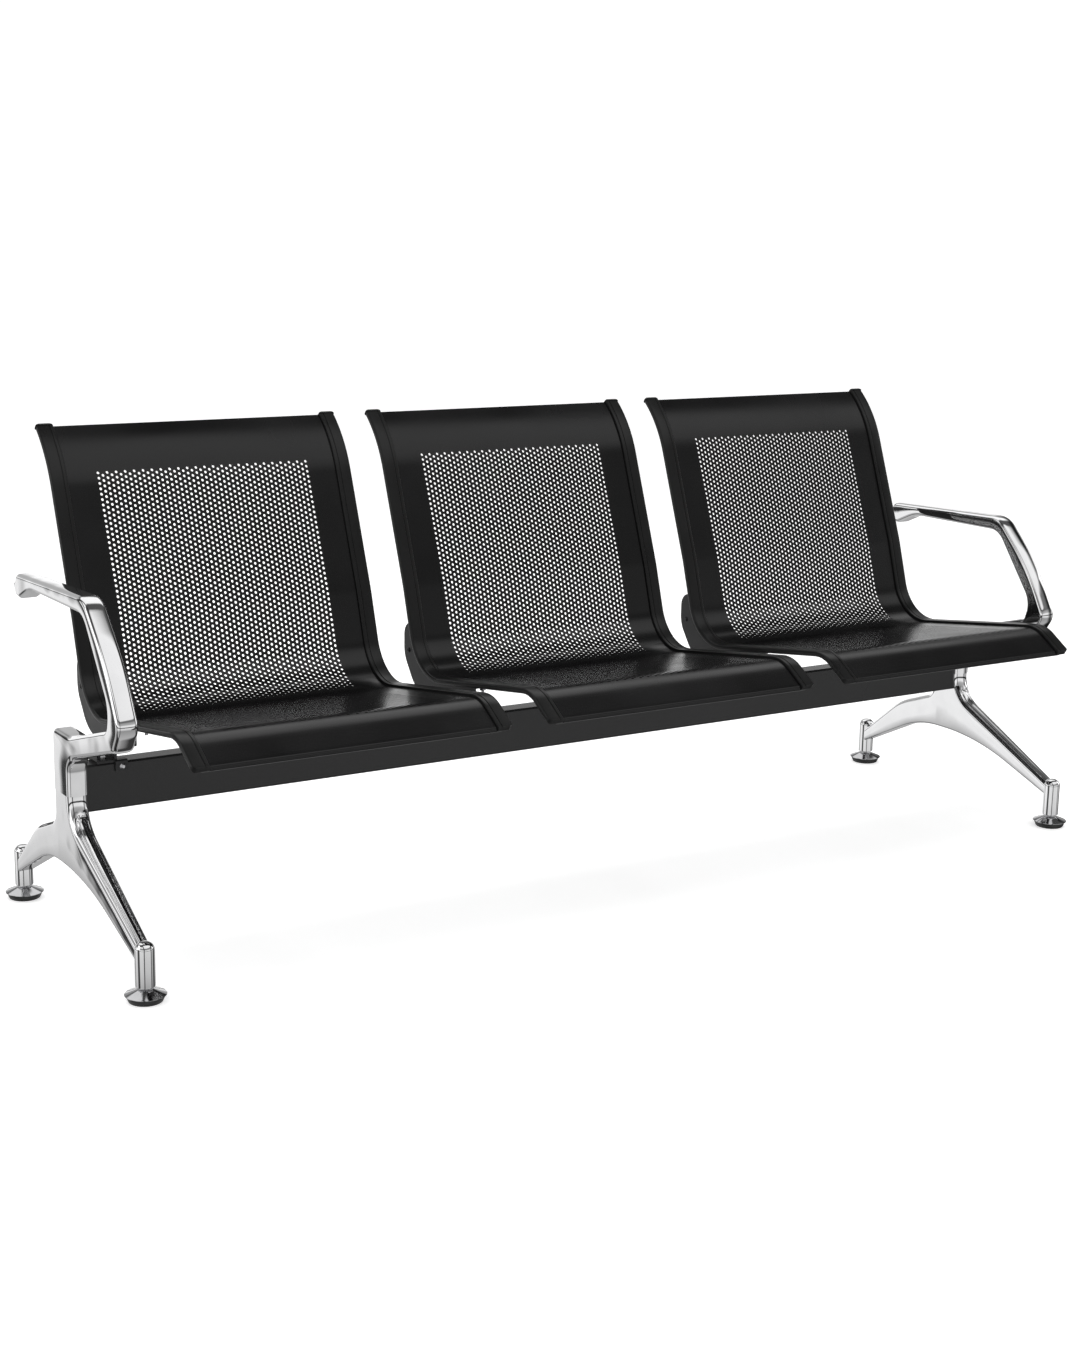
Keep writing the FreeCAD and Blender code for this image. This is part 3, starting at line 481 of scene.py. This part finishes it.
def dressNode(name, finish):
    for slot in nodes[name].material_slots:
        slot.material = looks[finish]


def dress(piece, finish, body, replaced):
    piece.data.materials.clear()
    piece.data.materials.append(looks[finish])
    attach(piece, body)
    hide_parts(replaced)


# the perforated sheet is laid out flat, its holes in columns set half a row apart, and then bent
seatSheet = {
    "columns": 49,
    "columnPitch": 7.75,
    "hole": 5.0,
    "fieldStart": 88,
    "rowsOnBack": 35,
    "rowsOnPan": 48,
    "half": 250,
    "thickness": 2,
    "hemDepth": 9,
    "hemRadius": 4,
    "hemReturn": 12,
    "runStep": 8,
    "backTurnStep": 2.5,
    "lipTurnStep": 6,
    "smoothAngle": 30,
}
# where the twelve corners of a hole go out to on the edge of its cell, in half widths and half heights
cellEdge = [
    (1, 0), (1, 0.5), (1, 1), (0, 1), (-1, 1), (-1, 0.5),
    (-1, 0), (-1, -0.5), (-1, -1), (0, -1), (1, -1), (1, -0.5),
]
rowPitch = seatSheet["columnPitch"] * 2 / math.sqrt(3)
hemUnder = upAndBack(lipEnd, -seatSheet["hemDepth"], -bench["lipAngle"])
hemEnd = forwardAndDown(hemUnder, -seatSheet["hemReturn"], bench["lipAngle"])
hemRadius = seatSheet["hemRadius"]
sheetRoute = Route(seatCorners + [(*lipEnd, hemRadius), (*hemUnder, hemRadius), (*hemEnd, 0)])
trimRoute = Route(seatCorners + [(*trimTip, 0)])


def onSeat(route, x, s, t):
    # a place t above the sheet's middle, on the sitter's side
    spot, ahead = route.at(s)
    return (x, spot.x + ahead.y * t + bench["depthShift"], spot.y - ahead.x * t)


def bendToSeat(piece, route):
    for vertex in piece.data.vertices:
        x, s, t = vertex.co / mm
        vertex.co = Vector(onSeat(route, x, s, t)) * mm


def makeHoleCell():
    # a hole drawn out to the edge of its cell
    corners = len(cellEdge)
    width = seatSheet["columnPitch"] / 2
    height = rowPitch / 2
    bpy.ops.mesh.primitive_circle_add(vertices=corners, radius=seatSheet["hole"] / 2 * mm)
    cell = bpy.context.object
    bpy.ops.object.mode_set(mode="EDIT")
    bpy.ops.mesh.select_all(action="SELECT")
    bpy.ops.mesh.extrude_edges_move()
    bpy.ops.object.mode_set(mode="OBJECT")
    for vertex in cell.data.vertices:
        if vertex.select:
            turn = math.atan2(vertex.co.y, vertex.co.x) / (2 * math.pi)
            across, up = cellEdge[round(turn * corners) % corners]
            vertex.co = Vector((across * width, up * height, 0)) * mm
    return cell


def makePlainHalf():
    # the plain half cell that levels a column which is set half a row down
    width = seatSheet["columnPitch"] / 2
    height = rowPitch / 4
    bpy.ops.mesh.primitive_plane_add(size=1)
    half = bpy.context.object
    for vertex in half.data.vertices:
        vertex.co = Vector((math.copysign(width, vertex.co.x), math.copysign(height, vertex.co.y), 0)) * mm
    bpy.ops.object.mode_set(mode="EDIT")
    bpy.ops.mesh.select_all(action="SELECT")
    bpy.ops.mesh.subdivide(number_cuts=1)
    bpy.ops.object.mode_set(mode="OBJECT")
    return half


def arrayed(piece, count, dx, dy):
    applyModifier(piece, "ARRAY", {
        "count": count,
        "use_relative_offset": False,
        "use_constant_offset": True,
        "constant_offset_displace": (dx * mm, dy * mm, 0),
        "use_merge_vertices": True,
        "merge_threshold": nearness["sheetMerge"],
    })


def mergeDoubles(piece):
    selectOnly(piece)
    bpy.ops.object.mode_set(mode="EDIT")
    bpy.ops.mesh.select_all(action="SELECT")
    bpy.ops.mesh.remove_doubles(threshold=nearness["sheetMerge"])
    bpy.ops.mesh.normals_make_consistent(inside=False)
    bpy.ops.object.mode_set(mode="OBJECT")


def makeField(rows, first, plainTop):
    # rows of holes from the one called first, with a plain half cell at the field's own end of odd columns
    pitch = seatSheet["columnPitch"]
    top = seatSheet["fieldStart"] + first * rowPitch
    even = makeHoleCell()
    odd = copied(even, "odd")
    place(even, 0, top + rowPitch / 2)
    arrayed(even, rows, 0, rowPitch)
    place(odd, pitch, top + rowPitch)
    arrayed(odd, rows if plainTop else rows - 1, 0, rowPitch)
    half = makePlainHalf()
    place(half, pitch, top + rowPitch / 4 if plainTop else top + rows * rowPitch - rowPitch / 4)
    last = copied(even, "last")
    pair = joined([even, odd, half])
    arrayed(pair, (seatSheet["columns"] - 1) // 2, 2 * pitch, 0)
    place(last, (seatSheet["columns"] - 1) * pitch)
    field = joined([pair, last])
    place(field, -(seatSheet["columns"] - 1) * pitch / 2)
    mergeDoubles(field)
    return field


def extrudeBorder(piece, onBorder, stops, alongX):
    # the chosen border edges are drawn out to each stop in turn
    selectOnly(piece)
    mesh = piece.data
    for polygon in mesh.polygons:
        polygon.select = False
    for vertex in mesh.vertices:
        vertex.select = onBorder(vertex.co / mm)
    for edge in mesh.edges:
        edge.select = mesh.vertices[edge.vertices[0]].select and mesh.vertices[edge.vertices[1]].select
    bpy.ops.object.mode_set(mode="EDIT")
    for here, there in zip(stops, stops[1:]):
        move = ((there - here) * mm, 0, 0) if alongX else (0, (there - here) * mm, 0)
        bpy.ops.mesh.extrude_edges_move(TRANSFORM_OT_translate={"value": move})
    bpy.ops.object.mode_set(mode="OBJECT")


def makeSheetHalf(name, rows, first, atTop):
    # the back or the pan: its holes, the plain border, then the bend and the thickness
    field = makeField(rows, first, atTop)
    edge = seatSheet["columns"] * seatSheet["columnPitch"] / 2
    top = seatSheet["fieldStart"] + first * rowPitch
    bottom = top + rows * rowPitch
    half = seatSheet["half"]
    near = nearness["select"]
    for side in sides.values():
        across = [side * edge, side * (edge + half) / 2, side * half]
        extrudeBorder(field, lambda p: p.x * side > edge - near, across, True)
    if atTop:
        stops = sheetRoute.stops(0, top, seatSheet["runStep"], seatSheet["backTurnStep"])
        stops.reverse()
        extrudeBorder(field, lambda p: p.y < top + near, stops, False)
    else:
        stops = sheetRoute.stops(bottom, sheetRoute.length, seatSheet["runStep"], seatSheet["lipTurnStep"])
        extrudeBorder(field, lambda p: p.y > bottom - near, stops, False)
    bendToSeat(field, sheetRoute)
    applyModifier(field, "SOLIDIFY", {"thickness": seatSheet["thickness"] * mm, "offset": 0})
    smooth(field, seatSheet["smoothAngle"])
    field.name = name
    return field


backSheet = makeSheetHalf("backSheet", seatSheet["rowsOnBack"], 0, True)
panSheet = makeSheetHalf("panSheet", seatSheet["rowsOnPan"], seatSheet["rowsOnBack"], False)
print("sheets made", len(backSheet.data.polygons), len(panSheet.data.polygons))


# the edge trim: a rounded profile with a groove near its inner edge, and a tip rounded in plan
edgeTrim = {
    "inner": 240,
    "half": 5,
    "outerRound": 4,
    "innerRound": 1.5,
    "underRound": 1,
    "groove": 6,
    "grooveWidth": 1.6,
    "grooveDepth": 1.2,
    "grooveSlope": 0.3,
    "grooveFloorRound": 0.3,
    "grooveEdgeRound": 0.4,
    "tipRound": 12,
    "tipEdge": 3,
    "tipSteps": 15,
    "cornerSteps": 5,
    "runStep": 12,
    "turnStep": 2,
    "smoothAngle": 35,
}


def makeTrim(name):
    trim = edgeTrim
    low = trim["inner"]
    high = bench["seatHalf"]
    half = trim["half"]
    grooveLow = low + trim["groove"]
    grooveHigh = grooveLow + trim["grooveWidth"]
    floor = half - trim["grooveDepth"]
    section = roundedOutline([
        (low, half, trim["innerRound"]),
        (grooveLow, half, trim["grooveEdgeRound"]),
        (grooveLow + trim["grooveSlope"], floor, trim["grooveFloorRound"]),
        (grooveHigh - trim["grooveSlope"], floor, trim["grooveFloorRound"]),
        (grooveHigh, half, trim["grooveEdgeRound"]),
        (high, half, trim["outerRound"]),
        (high, -half, trim["outerRound"]),
        (low, -half, trim["underRound"]),
    ], trim["cornerSteps"])
    end = trimRoute.length
    tip = trim["tipRound"]
    edge = trim["tipEdge"]
    steps = trim["tipSteps"]
    stops = trimRoute.stops(0, end - tip, trim["runStep"], trim["turnStep"])
    stops += [end - tip + tip * math.sin(math.radians(90 * k / steps)) for k in range(1, steps + 1)]
    rings = []
    for s in stops:
        left = max(0, end - s)
        reach = max(0, tip - left)
        limit = high - tip + math.sqrt(max(0, tip ** 2 - reach ** 2))
        inset = edge - math.sqrt(max(0, edge ** 2 - max(0, edge - left) ** 2))
        thin = 1 - inset / half
        rings.append([onSeat(trimRoute, min(p.x, limit), s, p.y * thin) for p in section])
    return loft(name, rings, trim["smoothAngle"])


# the plug over the top end of the trim: a dome that falls away further along it than across it
trimCap = {
    "overlap": 1,
    "rise": 6,
    "fall": 9,
    "crestHalf": 0.8,
    "cornerRound": 4,
    "cornerRoom": 0.05,
    "domeSteps": 8,
    "cornerSteps": 6,
    "smoothAngle": 40,
}


def makeCap(name):
    middle = (edgeTrim["inner"] + bench["seatHalf"]) / 2
    halfWidth = (bench["seatHalf"] - edgeTrim["inner"]) / 2 + trimCap["overlap"]
    halfDepth = edgeTrim["half"] + trimCap["overlap"]
    steps = trimCap["domeSteps"]
    rings = []
    for k in range(steps + 1):
        turn = math.pi / 2 * k / steps
        rise = trimCap["rise"] * math.sin(turn)
        fall = 1 - math.cos(turn)
        across = halfWidth - trimCap["fall"] * fall
        depth = halfDepth - (halfDepth - trimCap["crestHalf"]) * fall
        radius = min(trimCap["cornerRound"], depth - trimCap["cornerRoom"])
        corners = [(middle + x * across, t * depth, radius) for x, t in ((-1, -1), (1, -1), (1, 1), (-1, 1))]
        outline = roundedOutline(corners, trimCap["cornerSteps"])
        rings.append([onSeat(trimRoute, p.x, -rise, p.y) for p in outline])
    return loft(name, rings, trimCap["smoothAngle"])


trimRight = makeTrim("trimRight")
capRight = makeCap("capRight")
for seat in (1, 2, 3):
    middle = (seat - 2) * bench["seatPitch"]  # seat 2 stands in the middle
    title = f"seat_{seat}"
    for source, part in ((backSheet, "back"), (panSheet, "pan")):
        piece = copied(source, f"{title}_{part}")
        place(piece, middle)
        dress(piece, "sheet", "bench", f"{title}_shell")
    for side in sides:
        twin = copied if side == "right" else mirrored
        for source, part, slotName in ((trimRight, "trim", "edge_trim"), (capRight, "cap", "trim_cap")):
            node = f"{title}_{part}_{side}"
            piece = twin(source, f"{node}_fine")
            place(piece, middle)
            dress(piece, "trim", "bench", node)
        dressNode(f"{title}_bracket_{side}", "bracket")
        dressNode(f"{title}_rivets_{side}", "rivet")
        dressNode(f"{title}_bolts_{side}", "zinc")
for piece in (backSheet, panSheet, trimRight, capRight):
    bpy.data.objects.remove(piece)
dressNode("beam", "beam")
print("seats dressed")


# the leg casting: a top outline and an arch below it, seen from the side, and what rounds its sections
legCasting = {
    "half": 17,
    "toeHalf": 12.5,
    "taperStart": 45,
    "spread": 270,
    "postFront": 10,
    "postRear": 56,
    "seam": 246.5,
    "pastSeam": 12,
    "pastSeamRound": 1,
    "shinSlope": 25,
    "shinRadius": 60,
    "calfLevel": 195,
    "calfRadius": 25,
    "rearBend": (160, 157, 150),
    "rearEndLevel": 70,
    "archLevel": 131,
    "archFront": 73,
    "archFrontRadius": 500,
    "archFrontFall": 20,
    "archRear": 92,
    "archRearRadius": 250,
    "archRearFall": 26,
    "archEdge": 3,
    "archEdgeTurns": (30, 60, 90),
    "archEdgeRoom": 0.5,
    "frontNose": 11,
    "rearNose": 8,
    "rearNoseFrom": 20,
    "nosePower": 2.4,
    "noseRoom": 1,
    "noseSteps": 22,
    "flankShares": (0, 0.33, 0.67, 1),
    "ribHalf": 9.5,
    "ribTop": 216,
    "fluteRadius": 4,
    "fluteStand": 1.5,
    # how far along the arch the sections go that start at the ends of the runs and arcs above
    "archDepths": (-262, -105, 8, 14, 15, 36, 38, 44, 88, 120, 190, 262),
    "archSamples": 600,
    "sectionStep": 4,
    "smoothAngle": 50,
}
# the upright socket at each end of a leg
legSocket = {
    "top": 92,
    "base": 23,
    "half": 15,
    "baseEdge": 0.8,
    "domeRadius": 12,
    "domeSteps": 9,
}


def noseInset(x, half, depth):
    # how far the surface falls away from its middle towards the sides
    return depth * (1 - math.sqrt(max(0, 1 - min(1, abs(x) / half) ** legCasting["nosePower"])))


def fluteInset(x, pastRib):
    # how deep the flute round the rib is, beside the rib and past its top end
    off = abs(math.hypot(x, pastRib) - legCasting["ribHalf"])
    if off >= legCasting["fluteRadius"]:
        return 0
    return math.sqrt(legCasting["fluteRadius"] ** 2 - off ** 2) - legCasting["fluteStand"]


def legHalf(y):
    # half the width, which narrows in plan from the post to the sockets
    taper = legCasting["spread"] - legCasting["taperStart"]
    along = min(1, max(0, (abs(y) - legCasting["taperStart"]) / taper))
    return legCasting["half"] - (legCasting["half"] - legCasting["toeHalf"]) * along


def legTop():
    # from the front end up the shin, over the post and down to the rear end
    leg = legCasting
    slope = math.tan(math.radians(leg["shinSlope"]))
    toeLevel = legSocket["top"] - legSocket["half"] * slope
    bendLevel = legSocket["top"] + (leg["spread"] - leg["postFront"] - legSocket["half"]) * slope
    above = leg["seam"] + leg["pastSeam"]
    return Route([
        (-leg["spread"], toeLevel, 0),
        (-leg["postFront"], bendLevel, leg["shinRadius"]),
        (-leg["postFront"], above, leg["pastSeamRound"]),
        (leg["postRear"], above, leg["pastSeamRound"]),
        (leg["postRear"], leg["calfLevel"], leg["calfRadius"]),
        leg["rearBend"],
        (leg["spread"], leg["rearEndLevel"], 0),
    ])


def legArch():
    leg = legCasting
    level = leg["archLevel"]
    frontDrop = (leg["spread"] - leg["archFront"]) * math.tan(math.radians(leg["archFrontFall"]))
    rearDrop = (leg["spread"] - leg["archRear"]) * math.tan(math.radians(leg["archRearFall"]))
    return Route([
        (-leg["spread"], level - frontDrop, 0),
        (-leg["archFront"], level, leg["archFrontRadius"]),
        (leg["archRear"], level, leg["archRearRadius"]),
        (leg["spread"], level - rearDrop, 0),
    ])


def legSection(top, arch, pastRib):
    # nose, flank and rounded arch edge of the right half, then the same of the left half
    leg = legCasting
    spot, ahead = top
    foot, archAhead = arch
    inward = Vector((ahead.y, -ahead.x))
    upward = Vector((-archAhead.y, archAhead.x))
    half = legHalf(spot.x)
    nose = leg["frontNose"] if spot.x < leg["rearNoseFrom"] else leg["rearNose"]
    right = []
    for k in range(leg["noseSteps"] + 1):
        x = half * math.sin(math.pi / 2 * k / leg["noseSteps"])
        inset = noseInset(x, half, nose)
        if spot.x < 0:
            inset = max(inset, fluteInset(x, pastRib))
        point = spot + inward * inset
        right.append((x, point.x, point.y))
    flankTop = spot + inward * (nose + leg["noseRoom"])
    flankFoot = foot + upward * (leg["archEdge"] + leg["archEdgeRoom"])
    for share in leg["flankShares"]:
        point = flankTop.lerp(flankFoot, share)
        right.append((legHalf(point.x), point.x, point.y))
    for angle in leg["archEdgeTurns"]:
        turn = math.radians(angle)
        point = foot + upward * (leg["archEdge"] * (1 - math.sin(turn)))
        right.append((legHalf(foot.x) - leg["archEdge"] * (1 - math.cos(turn)), point.x, point.y))
    right.append((0, foot.x, foot.y))
    left = [(-x, y, z) for x, y, z in reversed(right[1:-1])]
    return [(x, y + bench["depthShift"], z) for x, y, z in right + left]


def makeSocket(ahead):
    radius = legSocket["half"]
    base = legSocket["base"]
    edge = legSocket["baseEdge"]
    dome = legSocket["domeRadius"]
    steps = legSocket["domeSteps"]
    domeBase = legSocket["top"] - dome
    outline = [(0, base), (radius - edge, base), (radius, base + edge), (radius, domeBase)]
    for k in range(1, steps + 1):
        turn = math.radians(90 * k / steps)
        outline.append((radius - dome + dome * math.cos(turn), domeBase + dome * math.sin(turn)))
    outline.append((0, legSocket["top"]))
    return turned("socket", outline, 0, ahead * legCasting["spread"] + bench["depthShift"])


def makeLeg(name, plane):
    leg = legCasting
    topRoute = legTop()
    archRoute = legArch()
    samples = leg["archSamples"]
    archSpots = [archRoute.at(archRoute.length * k / samples) for k in range(samples + 1)]
    above = leg["seam"] + leg["pastSeam"]
    ribEnd = topRoute.ends[2] - (above - leg["ribTop"] + leg["ribHalf"])
    rings = []
    begin = 0
    for index, end in enumerate(topRoute.ends):
        low, high = leg["archDepths"][index:index + 2]
        count = max(2, math.ceil((end - begin) / leg["sectionStep"]))
        isLast = index == len(topRoute.ends) - 1
        for k in range(count + isLast):
            share = k / count
            s = begin + (end - begin) * share
            top = topRoute.at(s)
            # what lies across the top of the post is cut off at the seam, so it has no sections
            if top[0].y > above - leg["pastSeamRound"] + nearness["pastSeam"]:
                continue
            depth = low + (high - low) * share
            arch = min(archSpots, key=lambda spot: abs(spot[0].x - depth))
            rings.append(legSection(top, arch, max(0, s - ribEnd)))
        begin = end
    body = loft(name, rings, leg["smoothAngle"])
    bpy.ops.object.mode_set(mode="EDIT")
    bpy.ops.mesh.select_all(action="SELECT")
    seam = (0, 0, leg["seam"] * mm)
    bpy.ops.mesh.bisect(plane_co=seam, plane_no=(0, 0, 1), clear_outer=True, use_fill=True)
    bpy.ops.object.mode_set(mode="OBJECT")
    for ahead in (-1, 1):
        body = joined([body, makeSocket(ahead)])
    smooth(body, leg["smoothAngle"])
    place(body, plane)
    return body


# the armrest casting, from the post up, forward, round the crook and back along the bar:
# both outlines are corners of depth, level and radius
armCasting = {
    "half": 17,
    "round": 7,
    "roundShare": 0.45,
    "crown": 1.5,
    "outer": [
        (-10, 246.5, 0), (-10, 307, 30), (-208, 362, 22), (-234, 402, 28),
        (-184, 490, 420), (-98, 576, 55), (207, 564, 12), (216, 545, 0),
    ],
    "inner": [
        (56, 246.5, 0), (56, 345, 12), (-20, 345, 60), (-180, 391, 13), (-190, 425, 45),
        (-95, 549, 42), (140, 547, 90), (191, 525, 9), (213, 527, 9), (216, 545, 0),
    ],
    # where sections lie: the end of which run or arc outside, how far past it, then the same inside
    "marks": [
        (0, 0, 0, -14), (0, 5, 0, 0), (1, -6, 1, 0), (1, 0, 1, 12), (2, -20, 4, -2),
        (3, 0, 5, -6), (4, 0, 5, 0), (5, 4, 6, 3), (6, 0, 8, -8), (8, 0, 8, 2),
        (9, 0, 9, 0), (10, -30, 11, 0), (10, -10, 12, 0), (11, -3, 14, 0), (-1, -1, -1, -1),
    ],
    "flatSteps": 4,
    "roundSteps": 7,
    "sectionStep": 3.5,
    "smoothAngle": 60,
}
armOuter = Route(armCasting["outer"])
armInner = Route(armCasting["inner"])


def armPlace(x, spot):
    return (x, spot.x + bench["depthShift"], spot.y)


def armSection(outAt, inAt):
    half = armCasting["half"]
    spot, ahead = armOuter.at(outAt)
    under, underAhead = armInner.at(inAt)
    inward = Vector((ahead.y, -ahead.x))
    outward = Vector((-underAhead.y, underAhead.x))
    if inward.dot(under - spot) < 0:
        inward = -inward
    if outward.dot(spot - under) < 0:
        outward = -outward
    radius = min(armCasting["round"], (under - spot).length * armCasting["roundShare"])
    profile = [((half - radius) * k / armCasting["flatSteps"], 0) for k in range(armCasting["flatSteps"])]
    for k in range(armCasting["roundSteps"] + 1):
        turn = math.pi / 2 * k / armCasting["roundSteps"]
        profile.append((half - radius + radius * math.sin(turn), radius * (1 - math.cos(turn))))
    right = []
    for x, inset in profile:
        inset += armCasting["crown"] * (x / half) ** 2 * (1 - inset / radius)
        right.append(armPlace(x, spot + inward * inset))
    for x, inset in reversed(profile):
        right.append(armPlace(x, under + outward * inset))
    return right + [(-x, y, z) for x, y, z in reversed(right[1:-1])]


def makeArm(name, plane):
    marks = [(0, 0)]
    for outEnd, outPast, inEnd, inPast in armCasting["marks"]:
        marks.append((armOuter.ends[outEnd] + outPast, armInner.ends[inEnd] + inPast))
    rings = []
    for (outLow, inLow), (outHigh, inHigh) in zip(marks, marks[1:]):
        outRun = outHigh - outLow
        inRun = inHigh - inLow
        count = max(2, math.ceil(max(outRun, inRun) / armCasting["sectionStep"]))
        rings += [armSection(outLow + outRun * k / count, inLow + inRun * k / count) for k in range(count)]
    rings.append(armSection(*marks[-1]))
    arm = loft(name, rings, armCasting["smoothAngle"])
    place(arm, plane)
    return arm


for side, sign in sides.items():
    for part, make in (("leg", makeLeg), ("armrest", makeArm)):
        piece = make(f"{part}_{side}_fine", sign * bench["legPlane"])
        dress(piece, "casting", "bench", f"{part}_{side}")
    dressNode(f"arm_bolt_{side}", "zinc")
    dressNode(f"spigot_screws_{side}", "zinc")
print("castings made")


# levelling glides: a chrome cone with a flat hub over a rubber base, each an outline of radius and level
glide = {
    "disc": [
        (0, 10), (30.7, 10), (31.5, 10.5), (31.5, 11.1), (30.9, 11.4),
        (12.5, 18.8), (11.9, 19.4), (11.2, 19.5), (5.2, 19.5), (0, 19.4),
    ],
    "rubber": [(0, 0), (24.7, 0), (25.5, 0.5), (29.2, 9), (28.6, 10), (0, 10)],
    "facets": 64,
}


def makeGlide(title, x, y):
    for part, finish, slotName in (("disc", "chrome", "glide_chrome"), ("rubber", "rubber", "glide_rubber")):
        piece = turned(f"{title}_{part}_fine", glide[part], x, y, glide["facets"])
        dress(piece, finish, f"{title}_foot", f"{title}_{part}")
    dressNode(f"{title}_stud", "zinc")


for side, sign in sides.items():
    for end, ahead in (("front", -1), ("rear", 1)):
        depth = ahead * legCasting["spread"] + bench["depthShift"]
        makeGlide(f"glide_{end}_{side}", sign * bench["legPlane"], depth)
print("glides made")


# floor, light and camera
studio = {
    "cameraPlace": (-1.99995, -3.03554, 1.16932),
    "cameraTurn": (77.1753, -0.9833, -32.0165),
    "lens": 70.57,
    "sensor": 36,
    "floorSize": 60,
    "floorDark": (0.86, 0.86, 0.86),
    "floorLight": (0.9, 0.9, 0.9),
    "floorCloud": 2,
    "floorGloss": 0.6,
    "floorGlow": 0.62,
    "worldStrength": 1.1,
    "backdropStrength": 1.05,
    # how bright the room is from straight down to straight up, from left to right and from front to rear
    "room": [
        (0, 0.5), (0.3, 0.35), (0.38, 0.85), (0.43, 0.9), (0.445, 0.03), (0.47, 0.03), (0.485, 1), (0.55, 1),
        (0.6, 0.5), (0.68, 0.4), (0.73, 0.15), (0.77, 0.2), (0.79, 1), (1, 1),
    ],
    "around": [
        (0, 1), (0.24, 1), (0.26, 0.06), (0.31, 0.06), (0.34, 0.95), (0.84, 1), (0.88, 0.05), (0.94, 0.7),
    ],
    "ahead": [(0, 0.8), (0.38, 0.9), (0.44, 0.08), (0.6, 0.08), (0.66, 1), (1, 1)],
    # place, target, width, height and brightness of each soft box, and whether the pieces mirror it
    "boxes": {
        "overhead": ((0, 0.4, 3.4), (0, 0, 0.4), 5.0, 3.2, 1.3, False),
        "leftSide": ((-3.6, 0.2, 1.5), (0, 0, 0.5), 2.0, 2.2, 1.3, True),
        "rightSide": ((3.6, -0.6, 1.3), (0, 0, 0.5), 1.6, 1.8, 1.2, True),
    },
}
bpy.ops.mesh.primitive_plane_add(size=studio["floorSize"])
floor = bpy.context.object
floor.name = "floor"
floor.visible_glossy = False
floorMaterial, floorLook = newMaterial("paleFloor")
floorCloud = noise(floorLook, studio["floorCloud"])
addSurface(floorLook, {
    "Base Color": shade(floorLook, floorCloud, studio["floorDark"], studio["floorLight"]),
    "Roughness": studio["floorGloss"],
    "Emission Color": (1, 1, 1, 1),
    "Emission Strength": studio["floorGlow"],
}, [])
floor.data.materials.append(floorMaterial)

# the room is a product of three grey ramps, and the camera sees a plain white backdrop instead
bpy.context.scene.view_settings.view_transform = "Standard"
world = bpy.data.worlds.new("studio")
bpy.context.scene.world = world
world.use_nodes = True
worldLook = Look(world.node_tree)
direction = worldLook.node("ShaderNodeTexCoord", {}, {}, "Generated")
axes = worldLook.node("ShaderNodeSeparateXYZ", {}, {0: direction}, None)
ramps = []
for axis, stops in ((0, studio["around"]), (1, studio["ahead"]), (2, studio["room"])):
    share = worldLook.node("ShaderNodeMapRange", {}, {0: Sock(worldLook, axes.outputs[axis]), 1: -1, 2: 1})
    ramps.append(worldLook.node("ShaderNodeValToRGB", {"stops": stops}, {0: share}))
around, ahead, room = ramps
brightness = room * (around * ahead)
banded = {"Color": brightness, "Strength": studio["worldStrength"]}
white = {"Color": (1, 1, 1, 1), "Strength": studio["backdropStrength"]}
dim = worldLook.node("ShaderNodeBackground", {}, banded)
plain = worldLook.node("ShaderNodeBackground", {}, white)
seen = worldLook.node("ShaderNodeLightPath", {}, {}, "Is Camera Ray")
mixed = worldLook.node("ShaderNodeMixShader", {}, {0: seen, 1: dim, 2: plain})
worldLook.node("ShaderNodeOutputWorld", {}, {"Surface": mixed}, None)


def addSoftbox(name, where, target, width, height, brightness, isMirrored):
    lamp = bpy.data.lights.new(name, "AREA")
    lamp.shape = "RECTANGLE"
    lamp.size = width
    lamp.size_y = height
    lamp.energy = brightness * math.pi * width * height
    box = bpy.data.objects.new(name, lamp)
    bpy.context.scene.collection.objects.link(box)
    box.location = where
    box.rotation_euler = (Vector(target) - Vector(where)).to_track_quat("-Z", "Y").to_euler()
    box.visible_glossy = isMirrored


for name, values in studio["boxes"].items():
    addSoftbox(name, *values)

camera = bpy.data.cameras.new("camera")
camera.lens = studio["lens"]
camera.sensor_fit = "HORIZONTAL"
camera.sensor_width = studio["sensor"]
cameraObject = bpy.data.objects.new("camera", camera)
bpy.context.scene.collection.objects.link(cameraObject)
cameraObject.location = studio["cameraPlace"]
cameraObject.rotation_euler = [math.radians(a) for a in studio["cameraTurn"]]
bpy.context.scene.camera = cameraObject
print("studio set")
